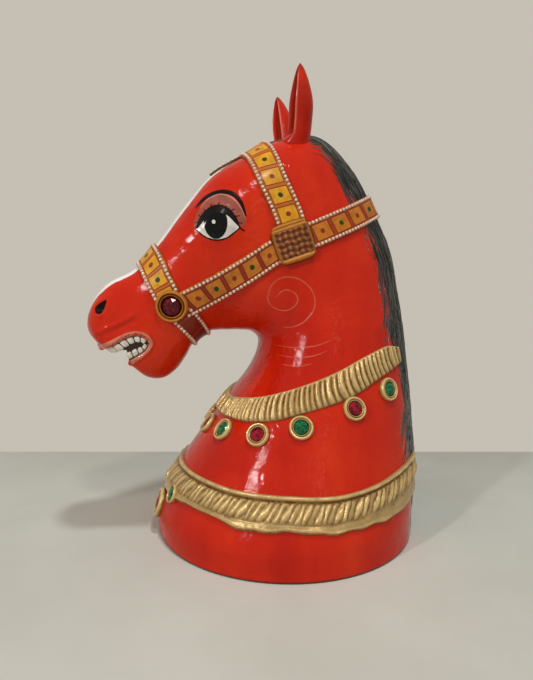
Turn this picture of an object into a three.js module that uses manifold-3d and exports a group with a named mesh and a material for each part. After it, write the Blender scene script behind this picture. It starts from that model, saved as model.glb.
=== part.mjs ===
import * as THREE from "three";
import { mergeVertices } from "three/addons/utils/BufferGeometryUtils.js";
import Module from "manifold-3d";

const wasm = await Module();
wasm.setup();

// Carved wooden horse bust. Millimetres, +Z up, the horse looks along -X, its left side is -Y,
// and the origin is the centre of the flat foot.

// Fits
const GAP = 0.3;
const SEAT_DEPTH = 4;

// Bust
const FOOT_RADIUS = 108;
const NECK_FOOT_HEIGHT = 110;
const NECK_RISE = 60;
const THROAT_HEIGHT = NECK_FOOT_HEIGHT + NECK_RISE;
const EYE_BULGE = 2.2;
const JOWL_BULGE = 2.6;
const NOSTRIL_FLARE = 2.4;
const TOOTH_RECESS = 2;
const NOSTRIL_DEPTH = 3.2;
const MANE_RISE = 1.2;

// Ears and their dowels
const EAR_LENGTH = 57;
const EAR_HALF_WIDTH = 9;
const EAR_HALF_DEPTH = 10;
const EAR_BOW = 1.6;
const EAR_WALL = 2.4;
const DOWEL_RADIUS = 3;
const DOWEL_IN_SKULL = 14;
const DOWEL_IN_EAR = 9;

// Bridle straps
const STRAP_THICKNESS = 2.2;
const BROWBAND_WIDTH = 23.5;
const CROWN_WIDTH = 21;
const CHEEK_WIDTH = 20;
const NOSEBAND_WIDTH = 20;
const CHIN_WIDTH = 18.5;
const DROP_LENGTH = 24;
const DROP_WIDTH = 16;

// Bridle buttons
const ROSETTE_SIZE = 32;
const ROSETTE_CORNER = 10.5;
const ROSETTE_HEIGHT = 6.5;
const ROSETTE_TILT = 0.33;
const BOSS_RADIUS = 12.4;
const BOSS_HEIGHT = 6;
const BOSS_STONE_RADIUS = 7.8;

// Collar, foot band and jewels
const COLLAR_WIDTH = 21;
const COLLAR_THICKNESS = 3.6;
const COLLAR_END = 44;
const BAND_WIDTH = 29;
const BAND_THICKNESS = 3.4;
const BAND_END = 51;
const BAND_PLATE = 1.8;
const BAND_RIM_WIDTH = 3;
const BAND_ROPE_DROP = 4.2;
const BAND_ROPE_WIDTH = 10;
const ROPE_GROOVES = 13;
const ROPE_GROOVE_DEPTH = 1.6;
const ROPE_SLANT = 0.4;
const JEWEL_RADIUS = 9.2;
const JEWEL_HEIGHT = 3.8;
const JEWEL_STONE_RADIUS = 5.6;
const BAND_JEWEL_RADIUS = 7.4;
const PENDANT_RADIUS = 12;
const PENDANT_HEIGHT = 3.4;
const PENDANT_STONE_RADIUS = 6.5;
const POCKET_FLOOR = 1.3;

// Places in the side view, as x and z. On the head, z is counted from the throat. On the neck, rise is
// a share of the way from the neck's foot up to the throat, and passes 1 at the back of the neck.
const onHead = (x, z) => [x, THROAT_HEIGHT + z];
const onNeck = (x, rise) => [x, NECK_FOOT_HEIGHT + rise * NECK_RISE];
const ROSETTE_AT = onHead(-7, 68.7);
const BOSS_AT = onHead(-99.7, 19.4);
const NOSTRIL_AT = onHead(-152.5, 18.5);
const COLLAR_JEWELS_AT = [[-60, 91], [-38.5, 92.5], [-8.7, 99.3], [33, 111.5], [66, 123.3]];
const FRONT_JEWEL_Z = 89;
const BAND_JEWEL_AT = [8.7 - FOOT_RADIUS, 38.7];
const PENDANT_Z = 24;
const DROP_AT = -37.5;
const EAR_FOOT = new THREE.Vector3(4.5, -18.5, THROAT_HEIGHT + 153);
const EAR_TIP = new THREE.Vector3(1, -35, THROAT_HEIGHT + 207);

// Slices through the bust. Each one is given by the two places where it meets the middle plane, one
// under (front of the neck, throat, jaw) and one on top (back of the neck, brow, nose), by half its
// width, by lean, which moves the widest place towards the top, and by full, its squareness.
const SLICES = [
  { under: [-FOOT_RADIUS - 2.5, 0], top: [FOOT_RADIUS - 1.5, 0], half: FOOT_RADIUS + 4, lean: 0, full: 2 },
  { under: [-FOOT_RADIUS - 2.5, 19], top: [FOOT_RADIUS - 1, 20], half: FOOT_RADIUS + 3, lean: 0, full: 2 },
  { under: [5.5 - FOOT_RADIUS, 38], top: [FOOT_RADIUS + 1.5, 41], half: FOOT_RADIUS - 4, lean: 0, full: 2 },
  { under: [-91, 57], top: [110.6, 62], half: 95, lean: 0, full: 2.05 },
  { under: [-76, 78], top: [109, 88], half: 85, lean: -0.02, full: 2.1 },
  { under: [-60.5, 98], top: [107.4, 117], half: 75, lean: -0.04, full: 2.15 },
  { under: onNeck(-46, 0.1), top: onNeck(105, 0.617), half: 66, lean: -0.06, full: 2.15 },
  { under: onNeck(-32, 0.4), top: onNeck(102, 1.117), half: 58, lean: -0.08, full: 2.15 },
  { under: onNeck(-24.5, 0.667), top: onNeck(96.8, 1.608), half: 53, lean: -0.09, full: 2.15 },
  { under: onNeck(-24, 0.85), top: onNeck(90.5, 2.135), half: 49, lean: -0.08, full: 2.15 },
  { under: onHead(-31, -2.5), top: onHead(74.8, 101.9), half: 47, lean: -0.06, full: 2.15 },
  { under: onHead(-42, -1), top: onHead(53.4, 138.6), half: 45, lean: -0.02, full: 2.15 },
  { under: onHead(-52, -1), top: onHead(24, 161.5), half: 43.5, lean: 0.04, full: 2.15 },
  { under: onHead(-60, -1), top: onHead(-13, 155.5), half: 42.5, lean: 0.1, full: 2.2 },
  { under: onHead(-68, -2), top: onHead(-41, 140), half: 41.5, lean: 0.14, full: 2.25 },
  { under: onHead(-76, -6), top: onHead(-65.5, 124.5), half: 40, lean: 0.16, full: 2.3 },
  { under: onHead(-82, -13), top: onHead(-87.5, 99), half: 37, lean: 0.14, full: 2.3 },
  { under: onHead(-87, -22), top: onHead(-108, 71), half: 33, lean: 0.08, full: 2.3 },
  { under: onHead(-95, -33), top: onHead(-127.5, 48.5), half: 29.5, lean: 0.02, full: 2.25 },
  { under: onHead(-106, -40), top: onHead(-147.5, 37.5), half: 28, lean: 0, full: 2.2 },
  { under: onHead(-118, -39), top: onHead(-158.5, 25), half: 27, lean: 0.02, full: 2.15 },
  { under: onHead(-127, -32), top: onHead(-164, 11), half: 25.5, lean: 0.05, full: 2.1 },
  { under: onHead(-134, -25), top: onHead(-163.5, 0), half: 22, lean: 0.05, full: 2.05 },
  { under: onHead(-143, -19), top: onHead(-157, -10), half: 15, lean: 0, full: 2 },
];
const RINGS_PER_SLICE = 2;
const RINGS = (SLICES.length - 1) * RINGS_PER_SLICE;

// Points round a slice: close together over the mane, on both sides of the top, and evenly spread elsewhere
const AROUND = 36;
const MANE_STEPS = 7;
const MANE_STEP = 0.1;

// Swellings on both sides of the head, as place, reach and height
const SWELLINGS = [
  [onHead(-66, 80), 20, EYE_BULGE],
  [onHead(-36, 30), 26, JOWL_BULGE],
  [onHead(-150, 16), 12, NOSTRIL_FLARE],
];

function sliceLine(pick) {
  return new THREE.CatmullRomCurve3(SLICES.map(pick), false, "centripetal");
}

const underLine = sliceLine(({ under: [x, z] }) => new THREE.Vector3(x, 0, z));
const topLine = sliceLine(({ top: [x, z] }) => new THREE.Vector3(x, 0, z));
const girthLine = sliceLine(({ half, lean, full }) => new THREE.Vector3(half, 50 * lean, 10 * full));

// Point of the skin: along runs from the foot to the muzzle, turn from the top round the right side
function skinPoint(along, turn) {
  const girth = girthLine.getPoint(along);
  const half = girth.x;
  const lean = girth.y / 50;
  const power = 20 / girth.z;
  const rise = Math.sign(Math.cos(turn)) * Math.abs(Math.cos(turn)) ** power;
  const spread = Math.sign(Math.sin(turn)) * Math.abs(Math.sin(turn)) ** power;
  const point = underLine.getPoint(along).lerp(topLine.getPoint(along), (rise + 1) / 2);
  let swell = 0;
  for (const [[x, z], reach, height] of SWELLINGS) {
    const away = ((point.x - x) ** 2 + (point.z - z) ** 2) / reach ** 2;
    swell += height * Math.exp(-away);
  }
  point.y = spread * (half * (1 + lean * rise) + swell);
  return point;
}

function skinNormal(along, turn) {
  const step = 1e-3;
  const forward = skinPoint(along + step, turn).sub(skinPoint(along - step, turn));
  const sideways = skinPoint(along, turn + step).sub(skinPoint(along, turn - step));
  return sideways.cross(forward).normalize();
}

function turnAt(step) {
  const fromTop = Math.min(step, AROUND - step);
  const maneEdge = MANE_STEPS * MANE_STEP;
  const plainStep = (Math.PI - maneEdge) / (AROUND / 2 - MANE_STEPS);
  const turn = fromTop < MANE_STEPS ? fromTop * MANE_STEP : maneEdge + (fromTop - MANE_STEPS) * plainStep;
  return step <= AROUND / 2 ? turn : 2 * Math.PI - turn;
}

// Height of the mane over the skin: every second line of points from the top is the ridge of a strand.
// The strands end below the ears, and the outermost ones start above the foot band.
function maneHeight(along, step) {
  const fromTop = Math.min(step, AROUND - step);
  if (fromTop >= MANE_STEPS || fromTop % 2 === 1) {
    return 0;
  }
  const start = fromTop < MANE_STEPS - 1 ? 0.02 : 0.2;
  const risen = THREE.MathUtils.smoothstep(along, start, start + 0.05);
  return MANE_RISE * risen * (1 - THREE.MathUtils.smoothstep(along, 0.43, 0.5));
}

function skinGeometry() {
  const position = [];
  const index = [];
  for (let ring = 0; ring <= RINGS; ring++) {
    for (let step = 0; step < AROUND; step++) {
      position.push(...skinPoint(ring / RINGS, turnAt(step)).toArray());
    }
  }
  const at = (ring, step) => ring * AROUND + (step % AROUND);
  for (let ring = 0; ring < RINGS; ring++) {
    for (let step = 0; step < AROUND; step++) {
      const a = at(ring, step);
      const b = at(ring, step + 1);
      const c = at(ring + 1, step + 1);
      const d = at(ring + 1, step);
      // The two halves of the skin are split into triangles as mirror images
      if (step < AROUND / 2) {
        index.push(a, b, d, b, c, d);
      } else {
        index.push(a, b, c, a, c, d);
      }
    }
  }
  for (let step = 1; step < AROUND - 1; step++) {
    index.push(at(0, 0), at(0, step + 1), at(0, step));
    index.push(at(RINGS, 0), at(RINGS, step), at(RINGS, step + 1));
  }
  const geometry = new THREE.BufferGeometry();
  geometry.setAttribute("position", new THREE.Float32BufferAttribute(position, 3));
  geometry.setIndex(index);
  geometry.computeVertexNormals();
  return geometry;
}

// Joins and cuts

function solidOf(geometry) {
  const bare = geometry.clone();
  bare.deleteAttribute("normal");
  bare.deleteAttribute("uv");
  const merged = mergeVertices(bare);
  const corners = Array.from(merged.index.array);
  const kept = [];
  for (let i = 0; i < corners.length; i += 3) {
    const [a, b, c] = corners.slice(i, i + 3);
    if (a !== b && b !== c && c !== a) {
      kept.push(a, b, c);
    }
  }
  const mesh = new wasm.Mesh({
    numProp: 3,
    vertProperties: merged.attributes.position.array,
    triVerts: new Uint32Array(kept),
  });
  return new wasm.Manifold(mesh);
}

function geometryOf(solid) {
  const mesh = solid.getMesh();
  const geometry = new THREE.BufferGeometry();
  geometry.setAttribute("position", new THREE.BufferAttribute(mesh.vertProperties, 3));
  geometry.setIndex(new THREE.BufferAttribute(mesh.triVerts, 1));
  return geometry;
}

// The skin moved outwards by a distance, with its mane or without, as a solid
function skinSolid(distance, mane) {
  const geometry = skinGeometry();
  const position = geometry.attributes.position;
  const normal = geometry.attributes.normal;
  for (let i = 0; i < position.count; i++) {
    const point = new THREE.Vector3().fromBufferAttribute(position, i);
    const outward = new THREE.Vector3().fromBufferAttribute(normal, i);
    const strand = mane ? maneHeight(Math.floor(i / AROUND) / RINGS, i % AROUND) : 0;
    point.addScaledVector(outward, distance + strand);
    position.setXYZ(i, ...point.toArray());
  }
  return solidOf(geometry);
}

const seatSkin = skinSolid(GAP, true);

function shell(thickness) {
  return skinSolid(GAP + thickness, false).subtract(seatSkin);
}

// A side-view outline made solid between two y values
function sidePrism(outline, fromY, toY) {
  const geometry = new THREE.ExtrudeGeometry(outline, { depth: toY - fromY, bevelEnabled: false });
  geometry.rotateX(Math.PI / 2);
  geometry.translate(0, toY, 0);
  return solidOf(geometry);
}

function sideLine(points) {
  return new THREE.SplineCurve(points.map(([x, z]) => new THREE.Vector2(x, z)));
}

// An outline along a side-view line, between two edges given as offsets across it at a share of its length
function ribbon(points, upperEdge, lowerEdge, steps) {
  const line = sideLine(points);
  const upper = [];
  const lower = [];
  for (let i = 0; i <= steps; i++) {
    const share = i / steps;
    const along = line.getTangent(share);
    const side = new THREE.Vector2(-along.y, along.x);
    upper.push(line.getPoint(share).addScaledVector(side, upperEdge(share)));
    lower.unshift(line.getPoint(share).addScaledVector(side, lowerEdge(share)));
  }
  return new THREE.Shape([...upper, ...lower]);
}

function evenRibbon(points, width) {
  return ribbon(points, () => width / 2, () => -width / 2, 10);
}

// The value between low and high where a test that holds at low stops holding
function turningPoint(low, high, holds) {
  while (high - low > 1e-6) {
    const middle = (low + high) / 2;
    if (holds(middle)) {
      low = middle;
    } else {
      high = middle;
    }
  }
  return low;
}

// Seats on the skin

function seatFrame(point, normal) {
  const level = new THREE.Vector3(0, 0, 1).cross(normal).normalize();
  const rise = normal.clone().cross(level);
  return new THREE.Matrix4().makeBasis(level, rise, normal).setPosition(point);
}

// Frame on the left side of the skin at a side-view place
function leftSeat([x, z]) {
  const miss = (along, turn) => {
    const point = skinPoint(along, turn);
    return Math.hypot(point.x - x, point.z - z);
  };
  let best = { along: 0.5, turn: 1.5 * Math.PI };
  for (let along = 0.02; along < 1; along += 0.02) {
    for (let turn = 1.04 * Math.PI; turn < 2 * Math.PI; turn += 0.04 * Math.PI) {
      if (miss(along, turn) < miss(best.along, best.turn)) {
        best = { along, turn };
      }
    }
  }
  for (let step = 0.01; step > 1e-6; step /= 2) {
    for (const [a, t] of [[1, 0], [-1, 0], [0, 8], [0, -8], [1, 8], [1, -8], [-1, 8], [-1, -8]]) {
      const next = { along: best.along + a * step, turn: best.turn + t * step };
      if (miss(next.along, next.turn) < miss(best.along, best.turn)) {
        best = next;
      }
    }
  }
  return seatFrame(skinPoint(best.along, best.turn), skinNormal(best.along, best.turn));
}

// Frame on the middle of the neck's front at a height
function frontSeat(z) {
  const along = turningPoint(0, 0.35, (share) => skinPoint(share, Math.PI).z < z);
  return seatFrame(skinPoint(along, Math.PI), skinNormal(along, Math.PI));
}

// The same piece on the other side of the middle plane
function mirrored(solid) {
  const { vertProperties, triVerts } = solid.getMesh();
  const mesh = new wasm.Mesh({
    numProp: 3,
    vertProperties: vertProperties.map((value, i) => (i % 3 === 1 ? -value : value)),
    triVerts: triVerts.slice().reverse(),
  });
  return new wasm.Manifold(mesh);
}

// A turned piece standing on a seat, from radius and height pairs
function turned(profile, seat, segments) {
  const outline = profile.map(([radius, height]) => new THREE.Vector2(radius, height));
  const geometry = new THREE.LatheGeometry(outline, segments);
  geometry.rotateX(Math.PI / 2);
  geometry.applyMatrix4(seat);
  return solidOf(geometry);
}

function clearance(radius, seat) {
  const reach = 20;
  return turned([[0, -reach], [radius + GAP, -reach], [radius + GAP, reach], [0, reach]], seat, 20);
}

// A rimmed setting with a blind pocket, trimmed to the skin
function setting(radius, height, stoneRadius, seat) {
  const pocket = stoneRadius + GAP;
  const profile = [
    [0, -SEAT_DEPTH],
    [radius, -SEAT_DEPTH],
    [radius, height * 0.55],
    [(radius * 2 + pocket) / 3, height],
    [(radius + pocket * 2) / 3, height],
    [pocket, height * 0.75],
    [pocket, POCKET_FLOOR],
    [0, POCKET_FLOOR],
  ];
  return turned(profile, seat, 14).subtract(seatSkin);
}

// A cut stone lying in the pocket of a setting
function stone(radius, height, seat) {
  const foot = POCKET_FLOOR + GAP;
  const profile = [
    [0, foot],
    [radius, foot],
    [radius, foot + height * 0.3],
    [radius * 0.62, foot + height],
    [0, foot + height],
  ];
  return turned(profile, seat, 10);
}

// Ears

const earAxis = EAR_TIP.clone().sub(EAR_FOOT).normalize();
const earFront = new THREE.Vector3(-1, 0, 0).addScaledVector(earAxis, earAxis.x).normalize();
const earSide = earAxis.clone().cross(earFront);
const earGirth = new THREE.SplineCurve([
  new THREE.Vector2(-0.3, 1.15),
  new THREE.Vector2(0, 0.94),
  new THREE.Vector2(0.25, 0.98),
  new THREE.Vector2(0.5, 1),
  new THREE.Vector2(0.75, 0.7),
  new THREE.Vector2(1, 0.1),
]);

// A leaf-shaped loft along the ear, thinned by a wall and pushed forward
function earLoft(wall, push, from, to) {
  const rings = 8;
  const around = 12;
  const position = [];
  const index = [];
  for (let ring = 0; ring <= rings; ring++) {
    const { x: t, y: girth } = earGirth.getPoint(from + ((to - from) * ring) / rings);
    const bow = EAR_BOW * Math.sin(Math.PI * Math.max(t, 0));
    const centre = EAR_FOOT.clone().addScaledVector(earAxis, t * EAR_LENGTH);
    centre.addScaledVector(earFront, push * girth - bow);
    for (let step = 0; step < around; step++) {
      const turn = (2 * Math.PI * step) / around;
      const depth = Math.max(EAR_HALF_DEPTH * girth - wall, 0.3) * Math.cos(turn);
      const width = Math.max(EAR_HALF_WIDTH * girth - wall, 0.3) * Math.sin(turn);
      const point = centre.clone().addScaledVector(earFront, depth).addScaledVector(earSide, width);
      position.push(...point.toArray());
    }
  }
  const at = (ring, step) => ring * around + (step % around);
  for (let ring = 0; ring < rings; ring++) {
    for (let step = 0; step < around; step++) {
      index.push(at(ring, step), at(ring, step + 1), at(ring + 1, step));
      index.push(at(ring, step + 1), at(ring + 1, step + 1), at(ring + 1, step));
    }
  }
  for (let step = 1; step < around - 1; step++) {
    index.push(at(0, 0), at(0, step + 1), at(0, step));
    index.push(at(rings, 0), at(rings, step), at(rings, step + 1));
  }
  const geometry = new THREE.BufferGeometry();
  geometry.setAttribute("position", new THREE.Float32BufferAttribute(position, 3));
  geometry.setIndex(index);
  return solidOf(geometry);
}

// A round bar along the ear axis, from below to above the ear foot
function dowelBar(radius, below, above) {
  const seat = new THREE.Matrix4().makeBasis(earFront, earSide, earAxis).setPosition(EAR_FOOT);
  return turned([[0, -below], [radius, -below], [radius, above], [0, above]], seat, 12);
}

const dowelHole = dowelBar(DOWEL_RADIUS + GAP, DOWEL_IN_SKULL + GAP, DOWEL_IN_EAR + GAP);
const leftDowel = dowelBar(DOWEL_RADIUS, DOWEL_IN_SKULL, DOWEL_IN_EAR);
const leftEar = earLoft(0, 0, 0, 1)
  .subtract(earLoft(EAR_WALL, 5.5, 0.42, 0.96))
  .subtract(seatSkin)
  .subtract(dowelHole);

// Bust

// The mouth in the side view: the recess round the teeth, and the gap between them at the front
const MOUTH_TIP = onHead(-156, -17.5);
const MOUTH_BACK = [
  onHead(-150, -12.5),
  onHead(-137, -6),
  onHead(-126, -3),
  onHead(-117.5, -8.5),
  onHead(-120.5, -15.5),
  onHead(-132, -23),
];
const TOOTH_GAP = [onHead(-145, -16.2), onHead(-135, -12), onHead(-133, -15), onHead(-132, -23)];
const MOUTH_FRONT = [onHead(-138, -32), onHead(-160, -22)];

function mouthOutline() {
  const outline = new THREE.Shape();
  outline.moveTo(...MOUTH_TIP);
  outline.splineThru(MOUTH_BACK.map((place) => new THREE.Vector2(...place)));
  MOUTH_FRONT.forEach((place) => outline.lineTo(...place));
  return outline;
}

function mouthGap() {
  const outline = new THREE.Shape();
  outline.moveTo(...MOUTH_TIP);
  [...TOOTH_GAP, ...MOUTH_FRONT].forEach((place) => outline.lineTo(...place));
  return outline;
}

function nostril() {
  const geometry = new THREE.SphereGeometry(1, 10, 8);
  geometry.scale(3, 7.5, NOSTRIL_DEPTH);
  geometry.rotateZ(-0.55);
  geometry.applyMatrix4(leftSeat(NOSTRIL_AT));
  return solidOf(geometry);
}

const reach = FOOT_RADIUS + 40;
const toothRecess = sidePrism(mouthOutline(), -reach, reach).subtract(skinSolid(-TOOTH_RECESS, false));
const carvedBust = skinSolid(0, true)
  .subtract(toothRecess)
  .subtract(sidePrism(mouthGap(), -reach, reach))
  .subtract(nostril())
  .subtract(mirrored(nostril()))
  .subtract(dowelHole)
  .subtract(mirrored(dowelHole));

// Bridle

function rosetteBlock(size, from, to, bevel) {
  const half = size / 2;
  const corner = Math.min(ROSETTE_CORNER, half * 0.9);
  const outline = new THREE.Shape();
  outline.moveTo(-half + corner, -half);
  outline.lineTo(half - corner, -half);
  outline.absarc(half - corner, -half + corner, corner, -Math.PI / 2, 0);
  outline.absarc(half - corner, half - corner, corner, 0, Math.PI / 2);
  outline.absarc(-half + corner, half - corner, corner, Math.PI / 2, Math.PI);
  outline.absarc(-half + corner, -half + corner, corner, Math.PI, Math.PI * 1.5);
  const geometry = new THREE.ExtrudeGeometry(outline, {
    depth: to - from - bevel,
    curveSegments: 4,
    bevelEnabled: bevel > 0,
    bevelThickness: bevel,
    bevelSize: bevel * 1.6,
    bevelOffset: -bevel * 1.6,
    bevelSegments: 2,
  });
  geometry.translate(0, 0, from);
  geometry.rotateZ(ROSETTE_TILT);
  geometry.applyMatrix4(leftSeat(ROSETTE_AT));
  return solidOf(geometry);
}

const bossSeat = leftSeat(BOSS_AT);
const leftRosette = rosetteBlock(ROSETTE_SIZE, -SEAT_DEPTH, ROSETTE_HEIGHT, 2.5).subtract(seatSkin);
const leftBoss = setting(BOSS_RADIUS, BOSS_HEIGHT, BOSS_STONE_RADIUS, bossSeat);
const leftBossStone = stone(BOSS_STONE_RADIUS, BOSS_HEIGHT - 1.5, bossSeat);
const rosetteRoom = rosetteBlock(ROSETTE_SIZE + 2 * GAP, -20, 20, 0);
const bossRoom = clearance(BOSS_RADIUS, bossSeat);
const strapShell = shell(STRAP_THICKNESS);

function strap(line, width, fromY, toY) {
  return strapShell
    .intersect(sidePrism(evenRibbon(line, width), fromY, toY))
    .subtract(rosetteRoom)
    .subtract(mirrored(rosetteRoom))
    .subtract(bossRoom)
    .subtract(mirrored(bossRoom));
}

const browLine = [
  ROSETTE_AT,
  onHead(-9.7, 86),
  onHead(-15.5, 100),
  onHead(-22.5, 116),
  onHead(-29.9, 143),
  onHead(-33.5, 160),
];
const crownLine = [
  ROSETTE_AT,
  onHead(9, 74.7),
  onHead(27, 82.3),
  onHead(46.5, 91),
  onHead(61, 98),
  onHead(95, 115),
];
const cheekLine = [
  onHead(-99.7, 15.5),
  onHead(-85, 23.2),
  onHead(-63, 34.9),
  onHead(-40.5, 48.2),
  onHead(-22.5, 60),
  ROSETTE_AT,
];
const noseLine = [
  BOSS_AT,
  onHead(-104.3, 29.2),
  onHead(-109.2, 39.5),
  onHead(-112.6, 48.7),
  onHead(-122.7, 73.4),
];
const chinLine = [
  BOSS_AT,
  onHead(-89, 9.5),
  onHead(-76, -5),
  onHead(-60, -23),
];

// Room for a strap that its neighbours stop short of
function strapRoom(line, width) {
  return sidePrism(evenRibbon(line, width + 2 * GAP), -reach, reach);
}

const cheekRoom = strapRoom(cheekLine, CHEEK_WIDTH);
const browRoom = strapRoom(browLine, BROWBAND_WIDTH);
const leftCheekStrap = strap(cheekLine, CHEEK_WIDTH, -reach, -5);
const browband = strap(browLine, BROWBAND_WIDTH, -reach, reach).subtract(cheekRoom);
const crownStrap = strap(crownLine, CROWN_WIDTH, -reach, reach).subtract(browRoom).subtract(cheekRoom);
const noseband = strap(noseLine, NOSEBAND_WIDTH, -reach, reach).subtract(cheekRoom);
const chinStrap = strap(chinLine, CHIN_WIDTH, -reach, reach).subtract(cheekRoom);

// A leaf on the forehead, hanging from the front edge of the browband
function foreheadDrop() {
  const tip = DROP_AT - DROP_LENGTH;
  const belly = DROP_AT - DROP_LENGTH * 0.45;
  const outline = new THREE.Shape();
  outline.moveTo(DROP_AT, -DROP_WIDTH * 0.3);
  outline.quadraticCurveTo(belly, -DROP_WIDTH * 0.75, tip, 0);
  outline.quadraticCurveTo(belly, DROP_WIDTH * 0.75, DROP_AT, DROP_WIDTH * 0.3);
  const settings = { depth: reach, bevelEnabled: false, curveSegments: 6 };
  const geometry = new THREE.ExtrudeGeometry(outline, settings);
  geometry.translate(0, 0, ROSETTE_AT[1]);
  return strapShell.intersect(solidOf(geometry)).subtract(browRoom);
}

// Collar, foot band and jewels

// Middle lines in the side view, each point with its share of the greatest width
const collarLine = [
  [-75, 103, 0.43],
  [-58, 104.2, 0.45],
  [-44, 107.2, 0.67],
  [-28, 111, 0.77],
  [0, 120, 0.86],
  [28, 129.5, 1],
  [55, 141.3, 0.98],
  [72, 147.2, 0.9],
  [83, 148.4, 0.65],
  [95, 149.5, 0.4],
];
const bandLine = [
  [-125, 46, 0.82],
  [-97, 48.2, 0.76],
  [-80, 48, 0.71],
  [-60, 45.2, 0.77],
  [-25, 44.3, 0.77],
  [12, 43.2, 0.8],
  [45, 45.3, 0.91],
  [75, 50, 1],
  [100, 54, 1],
  [125, 57, 1],
];

// Half the width at a share of the way along such a line
function halfWidth(line, width) {
  const shares = new THREE.SplineCurve(line.map(([, , share], i) => new THREE.Vector2(i, share)));
  return (along) => (width / 2) * shares.getPoint(along).y;
}

const collarHalf = halfWidth(collarLine, COLLAR_WIDTH);
const bandHalf = halfWidth(bandLine, BAND_WIDTH);
const bandFoot = (along) => -bandHalf(along);
const underBandTop = (drop) => (along) => bandHalf(along) - drop;

const jewelSeats = COLLAR_JEWELS_AT.map(leftSeat);
const frontJewelSeat = frontSeat(FRONT_JEWEL_Z);
const bandJewelSeat = leftSeat(BAND_JEWEL_AT);
const pendantSeat = frontSeat(PENDANT_Z);

// The way of the mane down the back of the neck, where the collar and the foot band are open
function maneWay(end) {
  const way = new THREE.BoxGeometry(2 * reach, 2 * end, 2 * reach);
  way.translate(reach, 0, reach);
  return solidOf(way);
}

// A raised layer round the neck between two edges along a side-view line, still on the full skin
function neckLayer(line, upperEdge, lowerEdge, thickness) {
  const outline = ribbon(line, upperEdge, lowerEdge, 18);
  return skinSolid(GAP + thickness, false).intersect(sidePrism(outline, -reach, reach));
}

function neckCollar() {
  let collar = neckLayer(collarLine, collarHalf, (along) => -collarHalf(along), COLLAR_THICKNESS)
    .subtract(seatSkin)
    .subtract(maneWay(COLLAR_END));
  for (const seat of [...jewelSeats, frontJewelSeat]) {
    const room = clearance(JEWEL_RADIUS, seat);
    collar = collar.subtract(room).subtract(mirrored(room));
  }
  return collar;
}

// Frame on the left side of the skin under the middle of the foot band's rope
function ropeSeat(turn) {
  const line = sideLine(bandLine);
  const ropeMiddle = underBandTop(BAND_ROPE_DROP + BAND_ROPE_WIDTH / 2);
  const heightAt = (x) => {
    const share = turningPoint(0, 1, (along) => line.getPoint(along).x < x);
    return line.getPoint(share).y + ropeMiddle(share);
  };
  const along = turningPoint(0, 0.25, (share) => {
    const point = skinPoint(share, turn);
    return point.z < heightAt(point.x);
  });
  return seatFrame(skinPoint(along, turn), skinNormal(along, turn));
}

// A slanted groove across the rope of the foot band
function ropeGroove(seat, slant) {
  const length = (BAND_ROPE_WIDTH + 1) / Math.cos(slant);
  const geometry = new THREE.CylinderGeometry(ROPE_GROOVE_DEPTH, ROPE_GROOVE_DEPTH, length, 4);
  geometry.rotateZ(-slant);
  geometry.translate(0, 0, GAP + BAND_THICKNESS);
  geometry.applyMatrix4(seat);
  return solidOf(geometry);
}

// A thin plate with a raised rim along its upper edge and a twisted rope under the rim
function footBand() {
  const ropeTop = underBandTop(BAND_ROPE_DROP);
  const ropeFoot = underBandTop(BAND_ROPE_DROP + BAND_ROPE_WIDTH);
  let rope = neckLayer(bandLine, ropeTop, ropeFoot, BAND_THICKNESS);
  for (let i = 0; i < ROPE_GROOVES; i++) {
    const seat = ropeSeat(Math.PI + (2.6 * (i + 0.5)) / ROPE_GROOVES);
    rope = rope.subtract(ropeGroove(seat, ROPE_SLANT)).subtract(mirrored(ropeGroove(seat, -ROPE_SLANT)));
  }
  const jewelRoom = clearance(BAND_JEWEL_RADIUS, bandJewelSeat);
  return neckLayer(bandLine, underBandTop(BAND_RIM_WIDTH / 2), bandFoot, BAND_PLATE)
    .add(neckLayer(bandLine, bandHalf, underBandTop(BAND_RIM_WIDTH), BAND_THICKNESS))
    .add(rope)
    .subtract(seatSkin)
    .subtract(maneWay(BAND_END))
    .subtract(jewelRoom)
    .subtract(mirrored(jewelRoom))
    .subtract(clearance(PENDANT_RADIUS, pendantSeat));
}

// Materials

function paint(colour, roughness, metalness) {
  return new THREE.MeshStandardMaterial({ color: new THREE.Color(colour), roughness, metalness });
}

const lacquer = () => paint("#c8321a", 0.22, 0);
const strapPaint = () => paint("#c9832a", 0.4, 0);
const gilt = () => paint("#b9985a", 0.35, 0.6);
const redGlass = () => paint("#8e1020", 0.08, 0);
const greenGlass = () => paint("#0f6b34", 0.08, 0);
const bareWood = () => paint("#b58a5a", 0.7, 0);

// Assembly

const group = new THREE.Group();
group.name = "carved_wooden_horse";

function place(name, solid, material) {
  const mesh = new THREE.Mesh(geometryOf(solid), material);
  mesh.name = name;
  group.add(mesh);
}

function placePair(name, leftSolid, material) {
  place(`left_${name}`, leftSolid, material());
  place(`right_${name}`, mirrored(leftSolid), material());
}

place("carved_bust", carvedBust, lacquer());
placePair("ear", leftEar, lacquer);
placePair("ear_dowel", leftDowel, bareWood);

place("browband", browband, strapPaint());
place("crown_strap", crownStrap, strapPaint());
placePair("cheek_strap", leftCheekStrap, strapPaint);
place("noseband", noseband, strapPaint());
place("chin_strap", chinStrap, strapPaint());
place("forehead_drop", foreheadDrop(), strapPaint());
placePair("rosette", leftRosette, gilt);
placePair("bit_boss", leftBoss, gilt);
placePair("bit_stone", leftBossStone, redGlass);

place("neck_collar", neckCollar(), gilt());
place("foot_band", footBand(), gilt());

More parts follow.
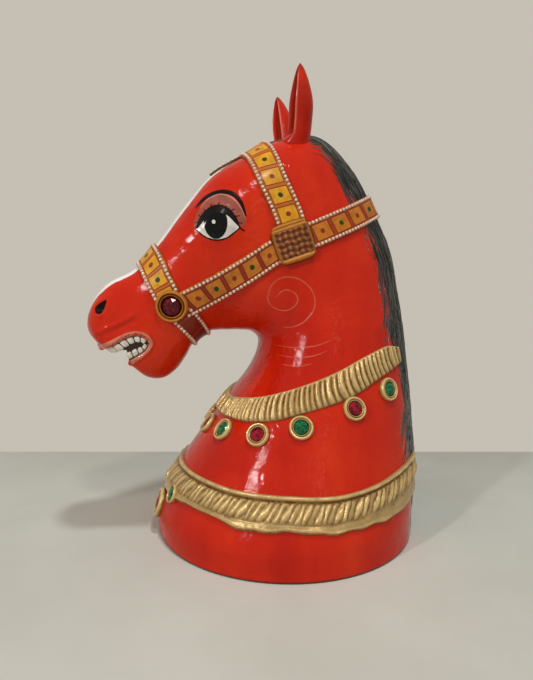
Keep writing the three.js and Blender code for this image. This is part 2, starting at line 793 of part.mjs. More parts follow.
const jewelStone = (seat) => stone(JEWEL_STONE_RADIUS, JEWEL_HEIGHT - 1.4, seat);
jewelSeats.forEach((seat, i) => {
  const bezel = setting(JEWEL_RADIUS, JEWEL_HEIGHT, JEWEL_STONE_RADIUS, seat);
  const glass = i % 2 === 0 ? greenGlass : redGlass;
  placePair(`collar_bezel_${i + 1}`, bezel, gilt);
  placePair(`collar_stone_${i + 1}`, jewelStone(seat), glass);
});
place("front_bezel", setting(JEWEL_RADIUS, JEWEL_HEIGHT, JEWEL_STONE_RADIUS, frontJewelSeat), gilt());
place("front_stone", jewelStone(frontJewelSeat), redGlass());
placePair("band_bezel", setting(BAND_JEWEL_RADIUS, JEWEL_HEIGHT, JEWEL_STONE_RADIUS, bandJewelSeat), gilt);
placePair("band_stone", jewelStone(bandJewelSeat), greenGlass);
place("front_pendant", setting(PENDANT_RADIUS, PENDANT_HEIGHT, PENDANT_STONE_RADIUS, pendantSeat), gilt());
place("pendant_stone", stone(PENDANT_STONE_RADIUS, PENDANT_HEIGHT - 1.4, pendantSeat), redGlass());

export default group;
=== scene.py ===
import math
import random

import bpy
import numpy as np
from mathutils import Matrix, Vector
from mathutils.bvhtree import BVHTree
from mathutils.geometry import delaunay_2d_cdt


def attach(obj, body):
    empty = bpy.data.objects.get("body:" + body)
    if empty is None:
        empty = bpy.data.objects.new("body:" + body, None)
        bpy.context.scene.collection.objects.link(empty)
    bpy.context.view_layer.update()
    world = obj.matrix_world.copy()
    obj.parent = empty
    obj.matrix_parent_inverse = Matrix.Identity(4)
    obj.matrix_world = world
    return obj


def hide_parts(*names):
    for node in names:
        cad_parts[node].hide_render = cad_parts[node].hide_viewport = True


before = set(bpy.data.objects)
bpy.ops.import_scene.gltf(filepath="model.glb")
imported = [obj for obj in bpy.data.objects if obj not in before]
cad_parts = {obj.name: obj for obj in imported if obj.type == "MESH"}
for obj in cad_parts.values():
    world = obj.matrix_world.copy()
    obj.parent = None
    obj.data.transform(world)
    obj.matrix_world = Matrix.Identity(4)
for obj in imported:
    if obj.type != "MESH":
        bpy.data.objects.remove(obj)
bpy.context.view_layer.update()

# Lengths here are millimetres, and meshes are written in metres. The horse looks along -X, its left
# side is -Y, and the origin is the centre of the flat foot.
METRES = 0.001

# Slices of the bust: under x and z, top x and z, half width, lean and fullness
SLICES = [
    (-110.5, 0, 106.5, 0, 112, 0, 2),
    (-110.5, 19, 107, 20, 111, 0, 2),
    (-102.5, 38, 109.5, 41, 104, 0, 2),
    (-91, 57, 110.6, 62, 95, 0, 2.05),
    (-76, 78, 109, 88, 85, -0.02, 2.1),
    (-60.5, 98, 107.4, 117, 75, -0.04, 2.15),
    (-46, 116, 105, 147, 66, -0.06, 2.15),
    (-32, 134, 102, 177, 58, -0.08, 2.15),
    (-24.5, 150, 96.8, 206.5, 53, -0.09, 2.15),
    (-24, 161, 90.5, 238.1, 49, -0.08, 2.15),
    (-31, 167.5, 74.8, 271.9, 47, -0.06, 2.15),
    (-42, 169, 53.4, 308.6, 45, -0.02, 2.15),
    (-52, 169, 24, 331.5, 43.5, 0.04, 2.15),
    (-60, 169, -13, 325.5, 42.5, 0.1, 2.2),
    (-68, 168, -41, 310, 41.5, 0.14, 2.25),
    (-76, 164, -65.5, 294.5, 40, 0.16, 2.3),
    (-82, 157, -87.5, 269, 37, 0.14, 2.3),
    (-87, 148, -108, 241, 33, 0.08, 2.3),
    (-95, 137, -127.5, 218.5, 29.5, 0.02, 2.25),
    (-106, 130, -147.5, 207.5, 28, 0, 2.2),
    (-118, 131, -158.5, 195, 27, 0.02, 2.15),
    (-127, 138, -164, 181, 25.5, 0.05, 2.1),
    (-134, 145, -163.5, 170, 22, 0.05, 2.05),
    (-143, 151, -157, 160, 15, 0, 2),
]
RINGS_PER_SLICE = 13
AROUND = 260

# Swellings on both sides of the head: x, z, reach and height
SWELLINGS = [(-66, 250, 20, 2.2), (-36, 200, 26, 2.6), (-150, 186, 12, 2.4)]

# Painted and carved outlines of the head in the side view, as x and z
EYE_TOP = [(-81.5, 247.3), (-78.1, 254.9), (-72.9, 261.4), (-65.5, 264.7), (-58.2, 262.8), (-52.4, 256.5)]
EYE_CORNER = (-48.6, 248.6)
EYE_BOTTOM = [(-53.9, 244.2), (-59.3, 240.5), (-65.7, 239), (-71.3, 239.7), (-76.4, 242.3)]
LINER_FOOT = [
    (-80, 247.6), (-77, 251.4), (-74.3, 254.9), (-70, 258), (-65.5, 259.2), (-61, 258.6),
    (-57.3, 256.6), (-53, 252.4),
]
LID_TOP = [
    (-82.8, 253), (-77.6, 263.7), (-71.6, 270.3), (-62.7, 273.9), (-54.1, 271.1), (-48.3, 264.3),
    (-43.8, 254),
]
BROW = [
    (-80.8, 264.2), (-73.4, 271.6), (-66, 275.1), (-59.6, 276), (-53, 274), (-48.1, 268.6),
    (-43.8, 257.2),
]
IRIS_AT = (-67, 252)
IRIS_SIZE = (8.6, 12.2)
GLINT_AT = (-68.6, 252.2)
GLINT_SIZE = (1.3, 1.5)
EYE_TAIL = (-45, 246.4)
LID_BACK = (-45.5, 250)
LID_FRONT = (-82.5, 249)
NOSTRIL = [
    (-147.9, 194.4), (-149.3, 189.4), (-151.3, 184.8), (-153.7, 183.2), (-156.1, 183.9),
    (-156.9, 187.7), (-153.2, 191.6),
]
MOUTH_TOP = [
    (-152, 154.6), (-144.2, 158.9), (-137.2, 163.5), (-130.7, 166.2), (-125.5, 166.6), (-120.8, 165),
]
MOUTH_CORNER = (-117.2, 160.5)
MOUTH_BOTTOM = [(-120.3, 154.5), (-125.8, 150.6), (-132.6, 146.6)]
MOUTH_FRONT = [(-138, 136), (-168, 146)]
LIP_TOP = [
    (-157.5, 157), (-151, 160.9), (-143.9, 164), (-137, 167.6), (-129.6, 169.9), (-122.2, 169.6),
    (-117.2, 166.6),
]
LIP_CORNER = (-114.2, 161)
LIP_BOTTOM = [(-115.5, 157), (-119.2, 152.8), (-123.8, 148.4), (-130.3, 143.9)]
TOOTH_GAP = [
    (-168, 154.5), (-150, 153.6), (-144.8, 152.6), (-140.5, 155.4), (-135.2, 157.6), (-133.6, 154.2),
    (-132.4, 146.4), (-138, 134), (-170, 144),
]
# Front edge of the dark gums, which are also painted shade in the mouth's recess
GUM_AND_SHADE_FRONT = [(-132.9, 152), (-134, 155.5), (-140.6, 156), (-144.8, 153.4), (-150, 154.2)]
CREASE = [(-156.1, 168.5), (-149.4, 172.1), (-142, 175.1), (-135.3, 178.5), (-128.3, 182.1)]
SCROLL = [
    (-19.5, 196), (-15.5, 200.5), (-11, 201.8), (-5.5, 199.5), (-2.8, 194.8), (-4.7, 189.4), (-10.7, 185.8),
    (-19, 187), (-24.8, 192.4), (-25.2, 200.2), (-21.4, 207.7), (-13.8, 211.6), (-4, 210.8), (4.4, 205.7),
    (9.8, 197), (9.9, 187.7), (6.1, 180.7), (0, 175), (-6.5, 172.4), (-12, 172),
]
THROAT_LINES = [
    [(-18, 157.5), (-6, 156.5), (8, 158), (21, 162.5)],
    [(-17, 150), (-4, 149), (9, 151.2), (18, 155)],
    [(-15, 143), (-4, 142.6), (6, 145)],
]

# Carving of the face: depths and heights
MOUTH_DEPTH = 2.4
NOSTRIL_DEPTH = 4
LIP_SWELL = 0.9
CREASE_RISE = 0.9
EYE_RISE = 0.9
BROW_RISE = 0.8

# Layers of paint on the face: how far each stands out, and how deep all of them reach into the skin
LID_LIFT = 0.12
LIP_LIFT = 0.14
WHITE_LIFT = 0.2
IRIS_LIFT = 0.34
LINER_LIFT = 0.42
GLINT_LIFT = 0.5
LASH_LIFT = 0.3
PAINT_SINK = 0.4

# The white blaze: half its width by x, the height it stays above by x, and its hindmost x
BLAZE_HALF = [(-162, 8), (-152, 11), (-120, 13), (-85, 19.5), (-60, 17), (-45, 6)]
BLAZE_ABOVE = [(-166, 172), (-158.5, 188), (-127.5, 209), (-87.5, 259), (-41, 300)]
BLAZE_BACK = -43

# The painted mane: half its width and its foremost x, by height, its carved strands, and its strokes
MANE_HALF = [
    (0, 60), (73, 60), (97, 57), (128, 49), (157, 47), (178, 44), (202, 40.5), (235, 37), (255, 35.5),
    (278, 34.5), (288, 34), (300, 32), (315, 28.5), (325, 23), (332, 20),
]
MANE_FROM = [(0, 60), (73, 70), (128, 68), (178, 55), (202, 52), (235, 45), (263, 30), (294, 16), (332, 12)]
FORELOCK_HALF = 12
FORELOCK_FROM = -30
FORELOCK_ABOVE = 308
MANE_RISE = 1.2
STRAND_TURN = 0.2
STRANDS_END = 0.7
STROKES_ALONG = (0.02, 0.66)
STROKES_TURN = 1.5
STROKES_ABOVE = 30
STROKE_POINTS = 46000
STROKE_SEED = 7

# Trim: places in the side view and sizes, the same as the solids. Settings: radius, height, stone's radius
GAP = 0.3
ROSETTE_AT = (-7, 238.7)
ROSETTE_SIZE = 32
ROSETTE_HEIGHT = 6.5
ROSETTE_TILT = 0.33
BOSS_AT = (-99.7, 189.4)
BOSS_SIZE = (12.4, 6, 7.8)
STRAP_THICKNESS = 2.2
BROWBAND_WIDTH = 23.5
CROWN_WIDTH = 21
CHEEK_WIDTH = 20
NOSEBAND_WIDTH = 20
CHIN_WIDTH = 18.5
BROW_LINE = [ROSETTE_AT, (-9.7, 256), (-15.5, 270), (-22.5, 286), (-29.9, 313), (-33.5, 330)]
CROWN_LINE = [ROSETTE_AT, (9, 244.7), (27, 252.3), (46.5, 261), (61, 268), (95, 285)]
CHEEK_LINE = [ROSETTE_AT, (-22.5, 230), (-40.5, 218.2), (-63, 204.9), (-85, 193.2), (-99.7, 185.5)]
NOSE_LINE = [BOSS_AT, (-104.3, 199.2), (-109.2, 209.5), (-112.6, 218.7), (-122.7, 243.4)]
CHIN_LINE = [BOSS_AT, (-89, 179.5), (-76, 165), (-60, 147)]
DROP_AT = -37.5
DROP_LENGTH = 24
DROP_WIDTH = 16
JEWEL_SIZE = (9.2, 3.8, 5.6)
BAND_JEWEL_SIZE = (7.4, 3.8, 5.6)
PENDANT_SIZE = (12, 3.4, 6.5)
COLLAR_JEWELS_AT = [(-60, 91), (-38.5, 92.5), (-8.7, 99.3), (33, 111.5), (66, 123.3)]
FRONT_JEWEL_Z = 89
BAND_JEWEL_AT = (-99.3, 38.7)
PENDANT_Z = 24
EAR_FOOT = (4.5, -18.5, 323)
EAR_TIP = (1, -35, 377)
EAR_HALF_WIDTH = 9
EAR_HALF_DEPTH = 10
EAR_GIRTHS = [(-0.3, 1.2), (0, 1), (0.25, 1), (0.5, 1), (0.75, 0.7), (0.93, 0.32), (1, 0.05)]

# Finer form of the trim: depths below the skin, reach of a seat, dots, the ear's hole and cut stones
STRAP_SINK = 0.3
BAND_SINK = 0.6
SEAT_SPAN = 3
DOT_INSET = 1.7
DOT_PITCH = 3.3
DOT_RADIUS = 1.3
LEAF_DOT_RADIUS = 1.2
DOT_HEIGHT = 1.0
EAR_HOLE_TURN = 4.87
STONE_SIDES = 10
STONE_FOOT = 1.6
JEWEL_SEEDS = range(20, 40)

# A setting from its foot to its pocket: share of the wall inwards, share of the height and crest, which
# sets painted highlight and shade
SETTING_PROFILE = [
    (0, 0.05, 0.15), (0, 0.5, 0.6), (0.1, 0.8, 0.9), (0.28, 0.98, 1), (0.48, 0.96, 0.9), (0.62, 0.74, 0.2),
    (0.74, 0.7, 0.15), (0.86, 0.9, 0.9), (0.97, 0.84, 0.8), (1, 0.66, 0.4),
]

# Collar and foot band: side-view middle lines with shares of the greatest width, sizes and rear heights
COLLAR_LINE = [
    (-75, 103, 0.43), (-58, 104.2, 0.45), (-44, 107.2, 0.67), (-28, 111, 0.77), (0, 120, 0.86),
    (28, 129.5, 1), (55, 141.3, 0.98), (72, 147.2, 0.9), (83, 148.4, 0.65), (95, 149.5, 0.4),
]
COLLAR_WIDTH = 21
COLLAR_THICKNESS = 3.6
COLLAR_END = 44
COLLAR_REAR = (118, 170)
COLLAR_RIB = 4.5
BAND_LINE = [
    (-125, 46, 0.82), (-97, 48.2, 0.76), (-80, 48, 0.71), (-60, 45.2, 0.77), (-25, 44.3, 0.77),
    (12, 43.2, 0.8), (45, 45.3, 0.91), (75, 50, 1), (100, 54, 1), (125, 57, 1),
]
BAND_WIDTH = 29
BAND_THICKNESS = 3.4
BAND_END = 51
BAND_REAR_TOP = 72
BAND_RIM_WIDTH = 3
BAND_ROPE_DROP = 4.2
BAND_ROPE_WIDTH = 12.6
BAND_ROPE_FOOT = BAND_ROPE_DROP + BAND_ROPE_WIDTH
BAND_RIB = 4.9
ROPE_SLANT = 0.55

# Places outside the bust from which rays are cast at it
OUTSIDE = 300
OVERHEAD = 500

# Gloss of the lacquer
LACQUER_COAT = 0.34
LACQUER_SHINE = 0.03

# Camera, in millimetres, and the floor's far edge, in metres from it
CAMERA_AT = (-123.0, -439.3, 194.0)
CAMERA_TURN = math.radians(13.5)
CAMERA_DOWN = math.radians(4.37)
CAMERA_LENS = 27.74
FLOOR_BACK = 0.659


# Curves and distances

def spline(points, share):
    """Centripetal curve through points, at shares from 0 to 1 of its spans."""
    points = np.array(points, float)
    line = np.vstack([2 * points[0] - points[1], points, 2 * points[-1] - points[-2]])
    steps = np.sqrt(np.linalg.norm(np.diff(line, axis=0), axis=1))
    place = np.clip(np.asarray(share, float), 0, 1) * (len(points) - 1)
    span = np.minimum(place.astype(int), len(points) - 2)
    part = (place - span)[..., None]
    before, start, end, after = (line[span + k] for k in range(4))
    back, step, next_step = (steps[span + k][..., None] for k in range(3))
    leave = ((start - before) / back - (end - before) / (back + step) + (end - start) / step) * step
    reach = (end - start) / step - (after - start) / (step + next_step) + (after - end) / next_step
    reach = reach * step
    bend = -3 * start + 3 * end - 2 * leave - reach
    turn = 2 * start - 2 * end + leave + reach
    return start + part * (leave + part * (bend + part * turn))


def arc_lengths(points):
    """Length along a row of points, up to each of them."""
    return np.concatenate([[0], np.cumsum(np.linalg.norm(np.diff(points, axis=0), axis=1))])


def resample(rows, lengths, wanted):
    """Rows that are given at lengths, at the wanted lengths."""
    flat = rows.reshape(len(lengths), -1)
    made = np.stack([np.interp(wanted, lengths, column) for column in flat.T], -1)
    return made.reshape((len(wanted),) + rows.shape[1:])


def even_line(dense, count):
    """The same line with points at even spacing."""
    lengths = arc_lengths(dense)
    return resample(dense, lengths, np.linspace(0, lengths[-1], count))


def smooth_line(points, count=40):
    """Evenly spaced points on a smooth curve."""
    return even_line(spline(points, np.linspace(0, 1, 400)), count)


def line_distance(x, z, line):
    """Distance of side-view points from a line."""
    best = np.full(x.shape, 1e9)
    for (ax, az), (bx, bz) in zip(line[:-1], line[1:]):
        dx, dz = bx - ax, bz - az
        share = np.clip(((x - ax) * dx + (z - az) * dz) / (dx * dx + dz * dz + 1e-12), 0, 1)
        best = np.minimum(best, np.hypot(x - ax - share * dx, z - az - share * dz))
    return best


def outline_distance(x, z, outline):
    """Distance from a closed outline, negative inside."""
    outline = np.asarray(outline, float)
    inside = np.zeros(x.shape, bool)
    for (ax, az), (bx, bz) in zip(outline, np.roll(outline, -1, axis=0)):
        crosses = (az > z) != (bz > z)
        where = ax + (z - az) * (bx - ax) / (bz - az if bz != az else 1e-9)
        inside ^= crosses & (x < where)
    distance = line_distance(x, z, np.vstack([outline, outline[:1]]))
    return np.where(inside, -distance, distance)


def ease(low, high, value):
    """0 at low and 1 at high, smooth between. Low may be above high."""
    share = np.clip((value - low) / (high - low), 0, 1)
    return share * share * (3 - 2 * share)


def bump(distance, width):
    """A rounded peak of height 1 at no distance."""
    return np.exp(-(distance / width) ** 2)


def lookup(table, value):
    """What a table of pairs says at a value."""
    return np.interp(value, *np.transpose(table))


def dome(value):
    """Height of a rounded form, 1 where the value is 0 and 0 where it is 1."""
    return np.sqrt(np.clip(1 - value, 0, 1))


def waves(along, parts):
    """Sum of waves, each of a height, a rate and a start."""
    return sum(height * np.sin(along * rate + start) for height, rate, start in parts)


def unit(vectors):
    """The same directions with length 1."""
    return vectors / np.maximum(np.linalg.norm(vectors, axis=-1, keepdims=True), 1e-9)


def full_turn(count):
    """Angles all round."""
    return np.linspace(0, 2 * math.pi, count, endpoint=False)


def spokes(turn, level, rise):
    """Directions at angles between a level and a rising one."""
    return np.cos(turn)[:, None] * level + np.sin(turn)[:, None] * rise


# Outlines in full

EYE_LINE = smooth_line(EYE_TOP + [EYE_CORNER], 40)
EYE_OUTLINE = np.vstack([EYE_LINE, smooth_line([EYE_CORNER] + EYE_BOTTOM + [EYE_TOP[0]], 36)[1:-1]])
NOSTRIL_OUTLINE = smooth_line(NOSTRIL + NOSTRIL[:1], 48)[:-1]
MOUTH_LINE = smooth_line(MOUTH_TOP + [MOUTH_CORNER] + MOUTH_BOTTOM, 60)
MOUTH_OUTLINE = np.vstack([MOUTH_LINE, MOUTH_FRONT])
LIP_OUTLINE = np.vstack([smooth_line(LIP_TOP + [LIP_CORNER] + LIP_BOTTOM, 60), MOUTH_LINE[::-1]])


# Skin of the bust

def skin_at(along, turn):
    """Points of the plain skin: along runs from foot to muzzle, turn from the top round the right."""
    table = np.array(SLICES, float)
    under = spline(table[:, 0:2], along)
    top = spline(table[:, 2:4], along)
    girth = spline(table[:, 4:7] * (1, 50, 10), along)
    power = 20 / girth[..., 2]
    rise = np.sign(np.cos(turn)) * np.abs(np.cos(turn)) ** power
    spread = np.sign(np.sin(turn)) * np.abs(np.sin(turn)) ** power
    place = under + (top - under) * ((rise + 1) / 2)[..., None]
    x, z = place[..., 0], place[..., 1]
    width = girth[..., 0] * (1 + girth[..., 1] / 50 * rise)
    for centre_x, centre_z, reach, height in SWELLINGS:
        width = width + height * np.exp(-((x - centre_x) ** 2 + (z - centre_z) ** 2) / reach ** 2)
    return np.stack([x, spread * width, z], -1)


def skin_rows():
    """Rows of skin points from under the foot to the muzzle's rounded end, with along and turn."""
    turn = full_turn(AROUND)[None, :]
    along = np.linspace(0, 1, (len(SLICES) - 1) * RINGS_PER_SLICE + 1)[:, None]
    rows = skin_at(*np.broadcast_arrays(along, turn))
    foot = [rows[0] * share for share in (0.4, 0.8, 0.97, 0.985)]
    rows[0] = rows[0] * (0.995, 0.995, 1) + (0, 0, 0.35)
    rows[1, :, 2] = np.maximum(rows[1, :, 2], 1.2)
    end = rows[-1]
    middle = end.mean(0)
    forward = np.array([-0.54, 0, -0.84])
    muzzle = []
    for share in (0.96, 0.88, 0.76, 0.6, 0.42, 0.2):
        muzzle.append(middle + (end - middle) * share + forward * 3.2 * math.sqrt(1 - share ** 2))
    along = np.concatenate([np.zeros((len(foot), 1)), along, np.ones((len(muzzle), 1))])
    return np.concatenate([foot, rows, muzzle]), along, turn


def row_normals(rows):
    """Outward normals of rows of skin points."""
    along = np.gradient(rows, axis=0)
    around = np.roll(rows, -1, axis=1) - np.roll(rows, 1, axis=1)
    return unit(np.cross(around, along))


def mane_depth(points):
    """How far points lie inside the edge of the painted mane, negative outside it."""
    x, y, z = points[..., 0], points[..., 1], points[..., 2]
    half = lookup(MANE_HALF, z)
    start = lookup(MANE_FROM, z)
    mane = np.minimum(half - np.abs(y), x - start)
    forelock = np.minimum(FORELOCK_HALF - np.abs(y), np.minimum(x - FORELOCK_FROM, z - FORELOCK_ABOVE))
    return np.maximum(mane, forelock)


def strand_height(along, turn):
    """Carved strands of the mane, which end below the ears."""
    from_top = np.minimum(turn, 2 * math.pi - turn)
    start = np.where(from_top < STRANDS_END - STRAND_TURN, 0.02, 0.2)
    risen = ease(start, start + 0.05, along) * (1 - ease(0.43, 0.5, along)) * (from_top < STRANDS_END)
    return MANE_RISE * risen * (0.5 + 0.5 * np.cos(2 * math.pi * from_top / STRAND_TURN))


def relief(points, normals):
    """Carving of the face and fine hairs, as heights along the normals of the plain skin."""
    x, y, z = points[..., 0], points[..., 1], points[..., 2]
    sides = np.abs(normals[..., 1]) > 0.12
    mouth = outline_distance(x, z, MOUTH_OUTLINE)
    height = -MOUTH_DEPTH * ease(0.8, -0.8, mouth)
    height += LIP_SWELL * bump(mouth - 2, 1.7) * ease(-0.2, 0.8, mouth)
    nostril = outline_distance(x, z, NOSTRIL_OUTLINE)
    height += sides * (0.5 * bump(nostril - 1.6, 1.4) - NOSTRIL_DEPTH * ease(0.6, -2.6, nostril))
    height += sides * CREASE_RISE * bump(line_distance(x, z, CREASE), 1.9)
    height -= sides * 0.6 * bump(line_distance(x, z, np.array(CREASE) - (0, 4)), 1.9)
    eye = outline_distance(x, z, EYE_OUTLINE)
    height += EYE_RISE * ease(0.6, -7, eye) + 0.45 * bump(eye - 1.2, 0.9)
    height -= sides * 0.5 * bump(line_distance(x, z, smooth_line(LID_TOP)), 1.3)
    height += sides * BROW_RISE * bump(line_distance(x, z, smooth_line(BROW)), 3)
    mane = ease(-2, 4, mane_depth(points)) * ease(1, 8, z)
    strand = np.abs(y) * 1.15 + 2.2 * np.sin(z * 0.045) + 0.8 * np.sin(z * 0.13 + y * 0.2)
    return height + mane * (0.2 * np.sin(strand * 2.1) + 0.15 * np.sin(strand * 3.7 + 1) + 0.3)


def grid_faces(rows, columns, wrap):
    """Quads of a grid of points, row after row."""
    faces = []
    for i in range(rows - 1):
        for j in range(columns if wrap else columns - 1):
            k = (j + 1) % columns
            faces.append((i * columns + j, i * columns + k, (i + 1) * columns + k, (i + 1) * columns + j))
    return faces


def capped(rows):
    """Points and faces of a row of rings, closed with a point in the middle of each end."""
    rows = np.asarray(rows, float)
    count, around = rows.shape[:2]
    points = np.vstack([rows.reshape(-1, 3), rows[0].mean(0), rows[-1].mean(0)])
    faces = grid_faces(count, around, True)
    total = count * around
    for j in range(around):
        k = (j + 1) % around
        faces.append((k, j, total))
        faces.append((total - around + j, total - around + k, total + 1))
    return points, faces


def tree_of(rows):
    """A closed skin to cast rays at."""
    points, faces = capped(rows)
    return BVHTree.FromPolygons([tuple(point) for point in points], faces)


plain_rows, row_along, row_turn = skin_rows()
plain_normals = row_normals(plain_rows)
skin_height = relief(plain_rows, plain_normals) + strand_height(row_along, row_turn)
carved_rows = plain_rows + plain_normals * skin_height[..., None]
carved_tree = tree_of(carved_rows)
plain_tree = tree_of(plain_rows)


def nearest_hit(place, tree):
    """Point and normal of the skin nearest to a place."""
    point, normal, _, _ = tree.find_nearest(Vector(place))
    return np.array(point), np.array(normal)


def cast_hit(start, direction, tree=carved_tree):
    """Point and normal where a ray first meets the skin, or nothing where it misses."""
    point, normal, _, _ = tree.ray_cast(Vector(start), Vector(direction).normalized())
    return None if point is None else (np.array(point), np.array(normal))


def side_hit(x, z, tree=carved_tree):
    """Point and normal on the left side of the skin at a side-view place."""
    return cast_hit((x, -OUTSIDE, z), (0, 1, 0), tree) or nearest_hit((x, 0, z), tree)


def leaving_hit(start, direction, tree=carved_tree):
    """Point and outward normal where a ray from inside leaves the skin."""
    point, normal = cast_hit(start, direction, tree)
    return point, -normal if normal @ np.array(direction) < 0 else normal


def hit_grid(rows, columns, hit):
    """Grids of points and normals, from a function of the row and the column."""
    feet = np.zeros((rows, columns, 3))
    normals = np.zeros_like(feet)
    for i in range(rows):
        for j in range(columns):
            feet[i, j], normals[i, j] = hit(i, j)
    return feet, normals


# Meshes

def mesh_of(name, points, faces, material):
    """A mesh of one material, from points in millimetres."""
    mesh = bpy.data.meshes.new(name)
    mesh.from_pydata([tuple(point) for point in np.asarray(points, float) * METRES], [], faces)
    mesh.materials.append(material)
    mesh.update()
    return mesh


def add_object(name, data):
    """A new object in the scene."""
    made = bpy.data.objects.new(name, data)
    bpy.context.scene.collection.objects.link(made)
    return made


def aim(thing, direction):
    """Turn a camera or a light to look along a direction."""
    thing.rotation_mode = "QUATERNION"
    thing.rotation_quaternion = direction.to_track_quat("-Z", "Y")


class Pile:
    """Points, faces and per-point values that become one piece."""

    def __init__(self):
        self.points = []
        self.faces = []
        self.values = {}
        self.count = 0

    def add(self, points, faces, **values):
        """More points and faces, with a value or a row of values under each name."""
        points = np.asarray(points, float).reshape(-1, 3)
        self.points.append(points)
        self.faces += [tuple(int(k) + self.count for k in face) for face in faces]
        for name, value in values.items():
            value = np.broadcast_to(np.asarray(value, float).reshape(-1), len(points))
            self.values.setdefault(name, []).append(value)
        self.count += len(points)

    def mirror(self, other=None):
        """The same on the right side, in a pile of its own or added to another one."""
        other = other or Pile()
        points = np.vstack(self.points) * (1, -1, 1)
        values = {name: np.concatenate(parts) for name, parts in self.values.items()}
        other.add(points, [face[::-1] for face in self.faces], **values)
        return other

    def build(self, name, material, sharp, slot, *nodes):
        """Make the piece."""
        mesh = mesh_of(name, np.vstack(self.points), self.faces, material)
        for key, parts in self.values.items():
            add_values(mesh, key, np.concatenate(parts))
        mesh.validate()
        mesh.update()
        piece_of(mesh, name, sharp, slot, *nodes)


def add_values(mesh, name, values):
    """One value for each point of a mesh, under a name."""
    layer = mesh.attributes.new(name, "FLOAT", "POINT")
    layer.data.foreach_set("value", values.astype(np.float32))


def piece_of(mesh, name, sharp, slot, *nodes):
    """A piece of the horse, smooth up to an angle or all flat, with the solids that it stands for."""
    mesh.polygons.foreach_set("use_smooth", [sharp > 0] * len(mesh.polygons))
    if sharp > 0:
        mesh.set_sharp_from_angle(angle=math.radians(sharp))
    piece = add_object(name, mesh)
    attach(piece, "root")
    if nodes:
        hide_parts(*nodes)


def closed_sheet(pile, top, bottom, faces, **values):
    """A sheet from its top and bottom points, with walls round its open edges."""
    count = len(top)
    edges = {}
    for face in faces:
        for edge in zip(face, list(face[1:]) + [face[0]]):
            edges[edge] = True
    solid = [tuple(face) for face in faces] + [tuple(k + count for k in face[::-1]) for face in faces]
    solid += [(p, p + count, q + count, q) for p, q in edges if (q, p) not in edges]
    pile.add(np.vstack([top, bottom]), solid, **values)


def slab(pile, feet, normals, heights, sink, **values):
    """A closed sheet on the skin, from grids of feet and normals and the heights above them."""
    rows, columns = feet.shape[:2]
    top = feet + normals * np.broadcast_to(heights, (rows, columns))[..., None]
    bottom = feet - normals * sink
    faces = grid_faces(rows, columns, False)
    if np.cross(top[0, 1] - top[0, 0], top[1, 0] - top[0, 0]) @ normals[0, 0] < 0:
        faces = [face[::-1] for face in faces]
    for name, value in values.items():
        values[name] = np.tile(np.broadcast_to(value, (rows, columns)).reshape(-1), 2)
    closed_sheet(pile, top.reshape(-1, 3), bottom.reshape(-1, 3), faces, **values)


def paint_area(pile, outline, lift, spacing):
    """A thin painted area on the left side, inside a side-view outline."""
    outline = np.asarray(outline, float)
    low, high = outline.min(0), outline.max(0)
    gx, gz = np.meshgrid(np.arange(low[0], high[0], spacing), np.arange(low[1], high[1], spacing))
    keep = outline_distance(gx, gz, outline) < -0.45 * spacing
    flat = np.vstack([outline, np.stack([gx[keep], gz[keep]], -1)])
    made = delaunay_2d_cdt([Vector(p) for p in flat], [], [list(range(len(outline)))], 1, 1e-4)
    flat, faces = made[0], made[2]
    hits = [side_hit(p[0], p[1]) for p in flat]
    feet, normals = (np.array([hit[k] for hit in hits]) for k in range(2))
    a, b, c = (feet[faces[0][k]] for k in range(3))
    if np.cross(b - a, c - a) @ normals[faces[0][0]] < 0:
        faces = [face[::-1] for face in faces]
    closed_sheet(pile, feet + normals * lift, feet - normals * PAINT_SINK, faces)


def paint_stroke(pile, points, width, lift, taper):
    """A brush stroke on the left side along a side-view line, thinner towards its ends."""
    length = arc_lengths(np.asarray(points, float))[-1]
    line = smooth_line(points, max(6, int(length / 0.9)))
    heading = unit(np.gradient(line, axis=0))
    side = np.stack([-heading[:, 1], heading[:, 0]], -1)
    wide = width * ((1 - taper) + taper * np.sin(math.pi * np.linspace(0, 1, len(line))) ** 0.7)
    across = np.array([-0.5, -0.3, 0, 0.3, 0.5])
    profile = np.array([0.3, 0.9, 1, 0.9, 0.3])

    def hit(i, j):
        return side_hit(*(line[i] + side[i] * wide[i] * across[j]))

    feet, normals = hit_grid(len(line), len(across), hit)
    slab(pile, feet, normals, lift * profile, PAINT_SINK)


def seat_axes(normal):
    """Level and rising directions on a seat."""
    level = unit(np.cross((0, 0, 1), normal))
    return level, np.cross(normal, level)


def lathe(pile, profile, seat, segments, wobble=0.0, seed=0, **values):
    """A turned form on a seat, from radius and height pairs, a little uneven as hand work is."""
    origin, normal = seat
    level, rise = seat_axes(normal)
    turn = full_turn(segments)
    uneven = 1 + wobble * (np.sin(2 * turn + seed) + 0.6 * np.sin(3 * turn + 2.3 * seed))
    ring = spokes(turn, level, rise)
    rows = [origin + ring * (radius * uneven)[:, None] + normal * height for radius, height in profile]
    for name, value in values.items():
        values[name] = np.concatenate([np.repeat(value, segments), [value[0], value[-1]]])
    pile.add(*capped(rows), **values)


def left_seat(place):
    """Place and normal on the plain skin of the left side, smoothed over a few millimetres."""
    x, z = place

    def hit(ahead, up):
        return side_hit(x + ahead, z + up, plain_tree)[0]

    lengthwise = hit(SEAT_SPAN, 0) - hit(-SEAT_SPAN, 0)
    upward = hit(0, SEAT_SPAN) - hit(0, -SEAT_SPAN)
    return hit(0, 0), unit(np.cross(lengthwise, upward))


def front_seat(z):
    """Place and normal on the middle of the neck's front."""

    def hit(height):
        return cast_hit((-OUTSIDE, 0, height), (1, 0, 0), plain_tree)[0]

    slope = hit(z + SEAT_SPAN) - hit(z - SEAT_SPAN)
    return hit(z), unit(np.array([-slope[2], 0, slope[0]]))


# Shader nodes

